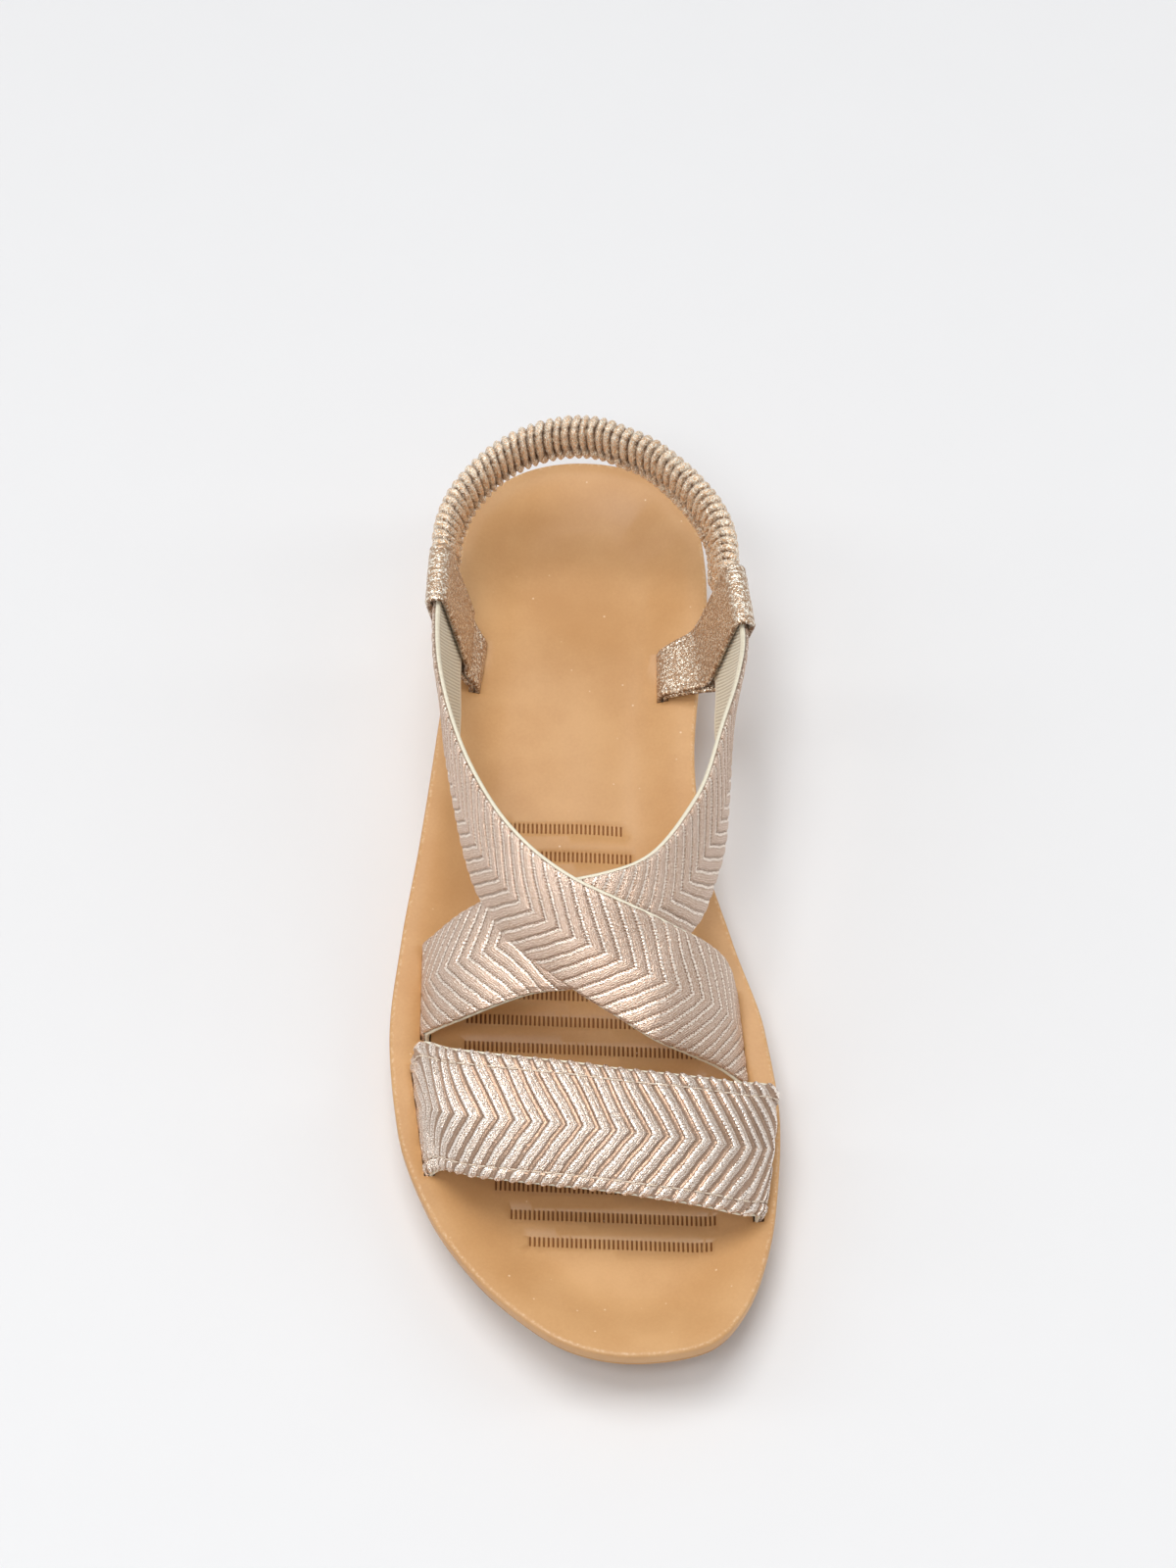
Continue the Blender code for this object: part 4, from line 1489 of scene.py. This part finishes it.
@dataclass
class SoleLayer:
    """What footbed and outsole share: a face cut from a plan, and rings that carry on round the side."""

    form: SoleForm
    count: int = field(default=190, kw_only=True)
    field_half: tuple[float, float] = field(default=(0.05, 0.125), kw_only=True)
    rough_count: int = field(default=90, kw_only=True)

    def loose(self, pitch: float, inset: float, stagger: float = 0.0) -> Array:
        """Spreads points evenly over the outline.

        Args:
            pitch: how far apart they lie.
            inset: how far the outline is drawn in first.
            stagger: how far every other row is moved across.

        Returns:
            The points, seen from above.
        """
        half_x, half_y = self.field_half
        xs, ys = np.meshgrid(np.arange(-half_x, half_x, pitch), np.arange(-half_y, half_y, pitch))
        xs[::2] += stagger
        points = np.column_stack([xs.ravel(), ys.ravel()])
        return points[inside_of(points, self.form.inset(self.rough_count, inset))]

    def face(self, piece: Piece, plan: Plan, border: Array, height: Any, up: bool) -> list[int]:
        """Adds the face that a plan shows.

        Args:
            piece: the mesh that it goes into.
            plan: the outlines drawn on it.
            border: its own outline.
            height: gives the face's height at each place.
            up: whether it faces up.

        Returns:
            The border's points.
        """
        at, depth, mark, faces = plan.cut(border)
        piece.add(np.column_stack([at, height(at) - depth]), np.column_stack([at, mark]))
        flat = at[np.array(faces)]
        spin = np.cross(flat[:, 1] - flat[:, 0], flat[:, 2] - flat[:, 0])
        piece.faces += [face if (turn > 0) == up else face[::-1] for face, turn in zip(faces, spin)]
        return [int(np.argmin(np.hypot(*(at - point).T))) for point in border]

    def carry(self, piece: Piece, at: Array, z: Array, mark: float = 0.0) -> list[int]:
        """Adds one ring of points.

        Args:
            piece: the mesh that it goes into.
            at: the ring, seen from above.
            z: its heights.
            mark: its relief.

        Returns:
            The ring's points.
        """
        first = piece.add(np.column_stack([at, z]), np.column_stack([at, np.full(len(at), mark)]))
        return list(range(first, first + len(at)))


class Level(Enum):
    """The surface that a ring of the footbed is measured from."""

    TOP = "top"
    UNDER = "under"


@dataclass
class Footbed(SoleLayer):
    """The cupped, slotted bed that the foot stands on; its rings hold inset, level, lift and relief."""

    slots: list[Array]
    vents: Vents = Vents()
    rim: float = 0.0013
    # rim_mark is the relief on the rim's edge, which sets the finish's painted highlight there
    rim_mark: float = 0.35
    face_insets: tuple[float, ...] = (0.0021, 0.0033, 0.0050, 0.0072, 0.0098, 0.0128, 0.0160)
    field_inset: float = 0.0172
    pitch: float = 0.0024
    slot_depth: float = 0.0038
    slot_taper: float = 0.0001
    slot_clear: float = 0.0006
    # each ring's mark is its relief, which sets the painted highlight on the rolled rim
    rings: tuple[tuple[float, Level, float, float], ...] = (
        (0.0007, Level.TOP, 0.00005, 0.8),
        (0.00025, Level.TOP, -0.0002, 0.5),
        (0.00002, Level.TOP, -0.0007, 0.2),
        (0.0, Level.TOP, -0.0016, 0.0),
        (0.0, Level.UNDER, 0.0014, 0.0),
        (0.00008, Level.UNDER, 0.0005, 0.0),
        (0.0005, Level.UNDER, 0.0, 0.0),
        (0.0040, Level.UNDER, 0.0, 0.0),
        (0.0085, Level.UNDER, 0.0, 0.0),
        (0.0150, Level.UNDER, 0.0, 0.0),
    )

    def build(self, finish: bpy.types.Material) -> None:
        """Makes the bed with its vents, strap slots, rolled rim, side and underside.

        Args:
            finish: the material.
        """
        form, plan, piece = self.form, Plan(), Piece()
        border = form.inset(self.count, self.rim)
        plan.loop(border, 0.0, self.rim_mark)
        for inset in self.face_insets:
            plan.scatter([point for point in form.inset(self.count, inset) if self.clear(point)])
        field_points = self.loose(self.pitch, self.field_inset, self.pitch / 2)
        held = self.vents.holds
        plan.scatter([point for point in field_points if self.clear(point) and not held(point, form.length)])
        vents = self.vents.draw(plan, form.length)
        for corners in self.slots:
            off = corners - corners.mean(axis=0)
            shrink = (1 - self.slot_taper / np.hypot(*off.T))[:, None]
            plan.loop(corners)
            # the slot's floor is marked -1, where the footbed's finish paints shade
            plan.loop(corners.mean(axis=0) + off * shrink, self.slot_depth, -1.0)
        before = self.face(piece, plan, border, form.bed_top, up=True)
        heights = {Level.TOP: form.bed_top, Level.UNDER: form.bed_under}
        for inset, level, lift, mark in self.rings:
            at = form.inset(self.count, inset)
            now = self.carry(piece, at, heights[level](at) + lift, mark)
            piece.bridge(before, now, loop=True)
            before = now
        piece.lid(before)
        piece.built("footbed_cover", finish, ("footbed",), "footbed")
        LOG.info("footbed vents: %d", vents)

    def clear(self, point: Array) -> bool:
        """Whether a point keeps off every strap slot."""
        gap = self.slot_clear
        return not any(
            (point > corners.min(axis=0) - gap).all() and (point < corners.max(axis=0) + gap).all()
            for corners in self.slots
        )


@dataclass
class Outsole(SoleLayer):
    """The moulded sole with its tapered side and short tread grooves."""

    taper: float = 0.0040
    border_in: float = 0.0016
    face_insets: tuple[float, ...] = (0.0090, 0.0130)
    field_inset: float = 0.0160
    pitch: float = 0.0045
    tread_depth: float = 0.0015
    tread_pitch: float = 0.0085
    tread_half: float = 0.0012
    tread_middle: float = 0.009
    tread_edge: float = 0.0115
    tread_floor: tuple[float, float] = (0.985, 0.72)
    tread_steps: int = 9
    tread_zones: Rows = ((0.085, 0.275), (0.600, 0.745))

    def grooves(self) -> list[tuple[Array, Array]]:
        """Draws the tread.

        Returns:
            The outlines of every groove's mouth and floor, seen from above.
        """
        found = []
        half_length = self.form.length / 2
        for start, stop in self.tread_zones:
            ends = half_length * (1 - 2 * stop), half_length * (1 - 2 * start)
            for y in np.arange(*ends, self.tread_pitch):
                lateral, medial, _ = self.form.sides(np.array([math.acos(y / half_length)]))
                for near, far in ((self.tread_middle, medial[0]), (-self.tread_middle, lateral[0])):
                    low, high = sorted((near, far - math.copysign(self.tread_edge, far)))
                    steps = np.linspace(low, high, self.tread_steps)
                    front = [(x, y - self.tread_half) for x in steps]
                    mouth = np.array(front + [(x, y + self.tread_half) for x in steps[::-1]])
                    middle = mouth.mean(axis=0)
                    found.append((mouth, middle + (mouth - middle) * self.tread_floor))
        return found

    def build(self, finish: bpy.types.Material) -> None:
        """Makes the sole's grooved ground side, its side and its top.

        Args:
            finish: the material.
        """
        form, piece, plan = self.form, Piece(), Plan()
        border = form.inset(self.count, self.taper + self.border_in)
        plan.loop(border)
        for inset in self.face_insets:
            plan.scatter(form.inset(self.count // 2, inset))
        plan.scatter(self.loose(self.pitch, self.field_inset))
        for mouth, floor in self.grooves():
            plan.loop(mouth)
            plan.loop(floor, -self.tread_depth)
        before = self.face(piece, plan, border, form.ground, up=False)
        for inset, share, lift in self.side_rings():
            at = form.inset(self.count, inset)
            z = form.ground(at) * (1 - share) + (form.bed_under(at) - form.seam) * share + lift
            now = self.carry(piece, at, z)
            piece.bridge(now, before, loop=True)
            before = now
        piece.lid(before, flip=True)
        piece.built("outsole_body", finish, ("outsole",), "outsole")

    def side_rings(self) -> Rows:
        """Lists the rings round the side, from the ground up and over the top.

        Returns:
            Each ring's inset, its share of the way up and its lift.
        """
        return (
            (self.taper + 0.0006, 0.0, 0.0004),
            (self.taper + 0.0001, 0.0, 0.0012),
            (self.taper * 0.82, 0.18, 0.0),
            (self.taper * 0.55, 0.5, 0.0),
            (self.taper * 0.28, 0.78, 0.0),
            (0.0006, 1.0, -0.0012),
            (0.0003, 1.0, -0.0003),
            (0.0007, 1.0, 0.0),
            (0.0040, 1.0, 0.0),
            (0.0085, 1.0, 0.0),
            (0.0150, 1.0, 0.0),
        )


class Side(Enum):
    """Which side of the foot a tab is on."""

    LATERAL = -1
    MEDIAL = 1


@dataclass
class FoldedTab:
    """A ribbon that stands in the footbed, opens round the strap ends and folds over them."""

    name: str
    side: Side
    rows: Rows
    form: SoleForm
    strap_wall: float = STRAP_WALL
    wall: float = 0.0013
    steps: int = 46
    columns: int = 41
    fold_steps: int = 17
    slot_gap: float = 0.00008
    foot_gap: float = 0.0004
    hem: float = 0.0017
    hem_half: float = 0.00040
    seam_pull: float = 0.55
    hem_rise: float = 0.00032
    edge: float = 0.0006
    ripple: float = 0.00010
    ripples: Rows = ((0.25, 260, 900), (0.2, 700, -300))
    sink: float = 0.00025

    def leaves(self, edge: int, steps: int) -> tuple[Array, Array]:
        """Follows the ribbon up, over its fold and down again, along one of its edges.

        Args:
            edge: 0 for the front edge, 2 for the rear one.
            steps: points on each leaf.

        Returns:
            Points and outward directions.
        """
        table = np.array(self.rows)
        rises = np.concatenate([[table[0, 0]], np.linspace(table[1, 0], table[-1, 0], steps)])
        found = through(self.rows, rises)
        half = found[:, 4] * self.strap_wall
        middle = self.form.placed(np.column_stack([found[:, edge : edge + 2], rises]))
        way = unit(np.gradient(middle[:, [0, 2]], axis=0))
        way[:2] = (0, 1)
        flat = np.stack([way[:, 1], -way[:, 0]], axis=1) * self.side.value
        count, over = len(middle), np.linspace(0, math.pi, self.fold_steps)[1:-1]
        order = np.concatenate([np.arange(count), np.full(len(over), count - 1), np.arange(count)[::-1]])
        angle = np.concatenate([np.zeros(count), over, np.full(count, math.pi)])[:, None]
        turned = way[order] * np.sin(angle) - flat[order] * np.cos(angle)
        out = np.stack([turned[:, 0], np.zeros(len(turned)), turned[:, 1]], axis=1)
        return middle[order] + out * half[order, None], out

    def slot(self) -> Array:
        """Finds the slot that both leaves stand in.

        Returns:
            Its corners, seen from above.
        """
        front, rear = (self.leaves(edge, 4)[0][[0, -1], :2] for edge in (0, 2))
        across = np.array([float(self.side.value), 0.0])
        along = unit(front.mean(axis=0) - rear.mean(axis=0)) * self.slot_gap
        out = across * (self.wall * 0.45 + self.slot_gap)
        ahead = (front[0] + along - out, front[1] + along + out)
        behind = (rear[1] - along + out, rear[0] - along - out)
        return np.array([*ahead, *behind])

    def build(self, finish: bpy.types.Material) -> None:
        """Makes the ribbon with its rolled hems.

        Args:
            finish: the material.
        """
        (front, front_way), (rear, rear_way) = (self.leaves(edge, self.steps) for edge in (0, 2))
        sheet = blended(front, rear, self.columns)
        out = unit(blended(front_way, rear_way, self.columns))
        width = np.linalg.norm(front - rear, axis=1)[:, None]
        run = run_along(front)[:, None]
        across = np.linspace(0, 1, self.columns)[None, :] * width
        inside = np.minimum(across, width - across)
        seam = np.exp(-(((inside - self.hem) / self.hem_half) ** 2))
        hem = step(inside, 0.0, self.edge) - self.seam_pull * seam
        lift = hem * self.hem_rise + waves(self.ripples, run, across) * self.ripple - self.sink
        thick = self.wall / 2 * (0.60 + 0.40 * step(inside, -0.0001, self.edge))
        top = sheet + out * (thick + lift)[..., None]
        low = sheet - out * (thick + np.minimum(lift, 0))[..., None]
        for grid in (top, low):
            for row in (0, -1):
                grid[row, :, 2] = self.form.bed_under(grid[row, :, :2]) + self.foot_gap
        # the relief is low at the edges and the seams, where the glitter finish paints shade
        raised = np.clip(0.4 + hem * 0.5, 0, 1)
        cloth = np.stack([np.repeat(run, self.columns, axis=1), across, raised], axis=2)
        piece = Piece()
        slab(piece, top, low, cloth, cloth)
        piece.built(self.name + "_ribbon", finish, (self.name,), self.name)


@dataclass
class GatheredHeelStrap:
    """A cloth tube drawn into gathers over flat elastic.

    A slant's row holds its size, its turns round the tube and its start; a pinch's row holds its size,
    its place round the tube and its half width, in radians.
    """

    form: SoleForm
    height: float = 0.0138
    wall: float = 0.0066
    end_wall: float = 0.0021
    start: float = 0.0105
    girth: float = 0.033
    slack: float = 1.8
    gathers: int = 50
    around: int = 56
    each: int = 12
    seed: int = 7
    stray: float = 0.13
    plumpness: tuple[float, float] = (0.82, 1.12)
    slants: Rows = ((0.34, 1, 0.6), (0.13, 2, 1.0))
    roundness: float = 0.50
    squareness: float = 0.80
    pinches: Rows = ((1.0, math.pi * 1.91, 0.17), (0.6, math.pi * 0.30, 0.16))
    opening: tuple[float, float] = (0.95, 1.25)
    fold_depth: float = 0.60
    pinch_depth: float = 0.26
    fold_drop: float = 0.20
    end_drop: float = 0.16

    def centre(self) -> tuple[Array, Array, Array, Array]:
        """Follows the middle of the tube, with more stations where it is gathered.

        Returns:
            How far along each station lies, its place, the level direction outward and its lean.
        """
        table = np.array(HEEL_STRAP)
        places = self.form.placed(table[:, :3])
        run = run_along(places)
        stop = run[-1] - self.start
        gathered = np.linspace(self.start, stop, self.gathers * self.each + 1)
        first = np.linspace(0, self.start, self.each)[:-1]
        at = np.concatenate([first, gathered, np.linspace(stop, run[-1], self.each)[1:]])
        path = through(np.column_stack([run, places, table[:, 3]]), at, held=False)
        way = np.gradient(path[:, :3], axis=0)
        way[:, 2] = 0
        way = unit(way)
        side = np.stack([way[:, 1], -way[:, 0], np.zeros(len(way))], axis=1)
        return at, path[:, :3], side, path[:, 3:]

    def folds(self, at: Array, angle: Array, opened: Array) -> tuple[Array, Array]:
        """Draws the cloth into gathers of uneven size.

        Args:
            at: how far along each station lies.
            angle: the places round the tube.
            opened: how open the tube is at each station.

        Returns:
            The folds' height, from 0 between two gathers, and how plump each gather is.
        """
        rng = np.random.default_rng(self.seed)
        order = np.clip((at - self.start) / (at[-1] - 2 * self.start), 0, 1) * self.gathers
        numbers = np.arange(self.gathers + 1)
        shift = np.interp(order, numbers, rng.uniform(-self.stray, self.stray, len(numbers)))
        plump = np.interp(order, numbers, rng.uniform(*self.plumpness, len(numbers)))
        slant = sum(size * np.sin(turns * angle + first) for size, turns, first in self.slants)
        turn = order[:, None] + shift[:, None] + slant * opened
        return np.abs(np.sin(math.pi * turn)) ** self.roundness, plump[:, None]

    def build(self, finish: bpy.types.Material) -> None:
        """Makes the tube, its gathers and its flat ends.

        Args:
            finish: the material.
        """
        at, path, side, lean = self.centre()
        angle = np.linspace(0, 2 * math.pi, self.around, endpoint=False)[None, :]
        shut, wide_open = (self.start * share for share in self.opening)
        opened = (step(at, shut, wide_open) * step(at[-1] - at, shut, wide_open))[:, None]
        fold, plump = self.folds(at, angle, opened)
        pinch = sum(size * np.exp(-(((angle - middle) / half) ** 2)) for size, middle, half in self.pinches)
        wide = self.end_wall / 2 + (self.wall - self.end_wall) / 2 * opened
        round_x, round_z = np.cos(angle), np.sin(angle)
        shape_x = np.sign(round_x) * np.abs(round_x) ** self.squareness
        shape_z = np.sign(round_z) * np.abs(round_z) ** self.squareness
        pinched = self.pinch_depth * pinch * (0.5 + 0.5 * fold)
        bulk = 1 - opened * (self.fold_depth * (1 - fold) * plump + pinched)
        tall = 1 - opened * self.fold_drop * (1 - fold) - (1 - opened) * self.end_drop
        rise = self.height / 2 * shape_z
        points = path[:, None] + side[:, None] * (wide * shape_x * bulk - lean * rise)[..., None]
        points[..., 2] += rise * tall
        along = np.repeat(at[:, None] * self.slack, self.around, axis=1)
        across = np.repeat(angle / (2 * math.pi) * self.girth, len(at), axis=0)
        piece = Piece()
        # the relief mark is low between the gathers and at the pinches, where the glitter finish paints
        # shade, and high on the folds, where it paints glints
        first = piece.add(points, np.stack([along, across, fold * 0.8 + 0.1 - 0.3 * pinch * opened], axis=2))
        piece.quads(first, len(at), self.around, wrap=True)
        last = first + (len(at) - 1) * self.around
        piece.faces.append(tuple(reversed(range(first, first + self.around))))
        piece.faces.append(tuple(range(last, last + self.around)))
        piece.built("heel_strap_gathers", finish, ("heel_strap",), "heel_strap")


@dataclass
class Studio:
    """The pale floor, the soft light and the camera at the photo's angle."""

    frame_height: float = 36.0
    frame_pixels: float = 1600
    focal_pixels: float = 4338
    place: tuple[float, float, float] = (0.0010, -0.4893, 0.9187)
    tilt: float = 30.0
    floor_half: float = 9.0
    floor_low: Colour = (0.800, 0.800, 0.805)
    floor_high: Colour = (0.810, 0.810, 0.815)
    aim: tuple[float, float, float] = (0, 0, 0.02)

    def build(self) -> None:
        """Sets up floor, light, tone and camera."""
        bpy.context.scene.view_settings.view_transform = "Standard"
        self.floor()
        self.sky((-0.10, 0.16, 1.0), 32.0, 1.46)
        self.light("front_light", (-0.18, -0.46, 1.05), (0.30, 0.22), 2.2)
        self.light("left_strip", (-0.85, 0.05, 0.75), (0.2, 0.8), 1.4)
        self.light("right_strip", (0.85, 0.05, 0.75), (0.2, 0.8), 1.4)
        glint = self.light("glint_light", (-0.50, -0.45, 0.95), (0.12, 0.12), 6.5)
        glint.visible_diffuse = False
        self.surround()
        self.camera()

    def camera(self) -> None:
        """Sets up the camera, solved from the photo."""
        lens = bpy.data.cameras.new("photo_view")
        lens.sensor_fit = "VERTICAL"
        lens.sensor_height = self.frame_height
        lens.lens = self.focal_pixels * self.frame_height / self.frame_pixels
        camera = shown(bpy.data.objects.new("photo_view", lens))
        camera.location = self.place
        camera.rotation_euler = (math.radians(self.tilt), 0, 0)
        bpy.context.scene.camera = camera

    def floor(self) -> None:
        """Lays a wide pale floor."""
        mesh = bpy.data.meshes.new("studio_floor")
        size = self.floor_half
        corners = [(-size, -size, 0), (size, -size, 0), (size, size, 0), (-size, size, 0)]
        mesh.from_pydata(corners, [], [(0, 1, 2, 3)])
        g = Graph(bpy.data.materials.new("studio_floor"))
        tone = g.mix(g.noise(g.place(), 0.02, 2.0), self.floor_low, self.floor_high)
        mesh.materials.append(g.dress(Base_Color=tone, Roughness=0.9))
        floor = shown(bpy.data.objects.new("studio_floor", mesh))

    def sky(self, toward: tuple[float, float, float], spread: float, strength: float) -> None:
        """Adds a broad even light, as wide as a studio ceiling.

        Args:
            toward: the direction that it comes from.
            spread: how wide it is, in degrees.
            strength: its strength.
        """
        lamp = bpy.data.lights.new("ceiling_light", "SUN")
        lamp.angle = math.radians(spread)
        lamp.energy = strength
        made = shown(bpy.data.objects.new("ceiling_light", lamp))
        made.rotation_euler = Vector(toward).to_track_quat("Z", "Y").to_euler()

    def surround(self) -> None:
        """Puts white walls low down and a dimmer ceiling around."""
        world = bpy.data.worlds.new("studio")
        g = Graph(world, "Background")
        ray = Sock(g, g.node("ShaderNodeTexCoord").outputs["Generated"])
        height = Sock(g, g.node("ShaderNodeSeparateXYZ", {}, {0: ray}).outputs[2])
        span = {"Value": height, "From Min": 0.10, "From Max": 0.45, "To Min": 0.92, "To Max": 0.34}
        fade = g.node("ShaderNodeMapRange", {}, span)
        g.dress(Color=(0.97, 0.98, 1.0), Strength=Sock(g, fade.outputs["Result"]))
        bpy.context.scene.world = world

    def light(
        self, name: str, place: tuple[float, float, float], size: tuple[float, float], power: float
    ) -> bpy.types.Object:
        """Adds one soft rectangular light aimed at the sandal.

        Args:
            name: its name.
            place: where it hangs.
            size: its width and height.
            power: its strength in watts.

        Returns:
            The light's object.
        """
        lamp = bpy.data.lights.new(name, "AREA")
        lamp.shape = "RECTANGLE"
        lamp.size, lamp.size_y = size
        lamp.energy = power
        made = shown(bpy.data.objects.new(name, lamp))
        made.location = place
        made.rotation_euler = (Vector(self.aim) - Vector(place)).to_track_quat("-Z", "Y").to_euler()
        return made


class Sandal:
    """The whole sandal, sub-assembly by sub-assembly."""

    rough: tuple[int, int] = (32, 7)
    rough_band: tuple[int, int] = (25, 7)
    fine_band: tuple[int, int] = (120, 61)
    band_hem: float = 0.0028

    def __init__(self) -> None:
        """Works out the sole, the straps' faces and the tabs."""
        self.form = SoleForm()
        self.upper = StrapForm(UPPER_STRAP, self.form)
        self.under = StrapForm(UNDER_STRAP, self.form)
        self.band = StrapForm(TOE_BAND, self.form, crown=0.0022, runs_down=(True, True))
        self.shift = Tuck().shift(self.under.sheet(*self.rough), self.upper.sheet(*self.rough))
        self.tabs = (
            FoldedTab("lateral_tab", Side.LATERAL, LATERAL_TAB, self.form),
            FoldedTab("medial_tab", Side.MEDIAL, MEDIAL_TAB, self.form),
        )

    def under_sheet(self, stations: int, columns: int) -> Array:
        """The lower strap's face, pressed under the upper one."""
        return self.under.sheet(stations, columns) + resampled(self.shift, stations, columns)

    def slots(self) -> list[Array]:
        """The footbed's slots for all strap ends and tabs, seen from above."""
        upper = self.upper.slots(self.upper.sheet(*self.rough))
        under = self.under.slots(self.under_sheet(*self.rough))
        band = self.band.slots(self.band.sheet(*self.rough_band))
        return upper + under + band + [tab.slot() for tab in self.tabs]

    def build(self) -> None:
        """Makes and dresses every piece."""
        Footbed(self.form, self.slots()).build(TanSoleSkin().made("tan_footbed"))
        Outsole(self.form).build(TanSoleSkin(roughness=0.56).made("tan_outsole"))
        foil, lining = FoilLeather().made("strap_foil"), RibKnit().made("strap_lining")
        EmbossedStrap("upper_strap", self.upper, self.upper.sheet, "cross_straps").build(foil, lining)
        EmbossedStrap("under_strap", self.under, self.under_sheet, "cross_straps").build(foil, lining)
        self.build_band(lining)
        self.sew_band()
        # the tabs take a darker copy of the heel strap's glitter cloth with fewer glints: painted shade for
        # the upright ribbons
        for tab in self.tabs:
            tab.build(GlitterCloth(mid=(0.46, 0.295, 0.18), sparkle=0.89).made("tab_glitter"))
        GatheredHeelStrap(self.form).build(GlitterCloth().made("heel_strap_glitter"))

    def build_band(self, lining: bpy.types.Material) -> None:
        """Makes the toe band, whose chevron is bolder and flatter and whose foil is paler.

        Args:
            lining: the lining's finish.
        """
        chevron = {"groove": 0.36, "cord": 0.32}
        pale = {"bright": (0.97, 0.875, 0.785), "plain": (0.50, 0.36, 0.265), "blush": (0.53, 0.39, 0.30)}
        # the band's foil paints lighter, more even shade in its grooves, and its glints in a colour of their
        # own
        foil = FoilLeather(groove_shade=0.45, boldness=1.7, roughness=0.30, even=0.9, **pale, **chevron)
        bold = {"slant": 0.66, "depth": 0.00062, "scallop": 0.00075, "rope": 1.0, "knit": 0.50}
        band = EmbossedStrap(
            "toe_band", self.band, self.band.sheet, "toe_band", hem=self.band_hem, **bold, **chevron
        )
        band.build(foil.made("band_foil"), lining)

    def sew_band(self) -> None:
        """Sews the toe band's two rows of stitches."""
        grid = self.band.sheet(*self.fine_band)
        normal = normals_of(grid)
        lines = []
        middle = grid[len(grid) // 2]
        width = np.linalg.norm(middle[-1] - middle[0])
        for inset in (self.band_hem, width - self.band_hem):
            column = int(round(inset / width * (len(middle) - 1)))
            lines.append((grid[2:-2, column], normal[2:-2, column]))
        StitchRow("toe_band_stitches", "toe_band").build(lines, Thread().made("band_thread"))


def main() -> None:
    """Builds the sandal on its frame, then the studio."""
    logging.basicConfig(level=logging.INFO, format="%(name)s: %(message)s")
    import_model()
    LOG.info("frame loaded")
    Sandal().build()
    Studio().build()


if __name__ == "__main__":
    main()
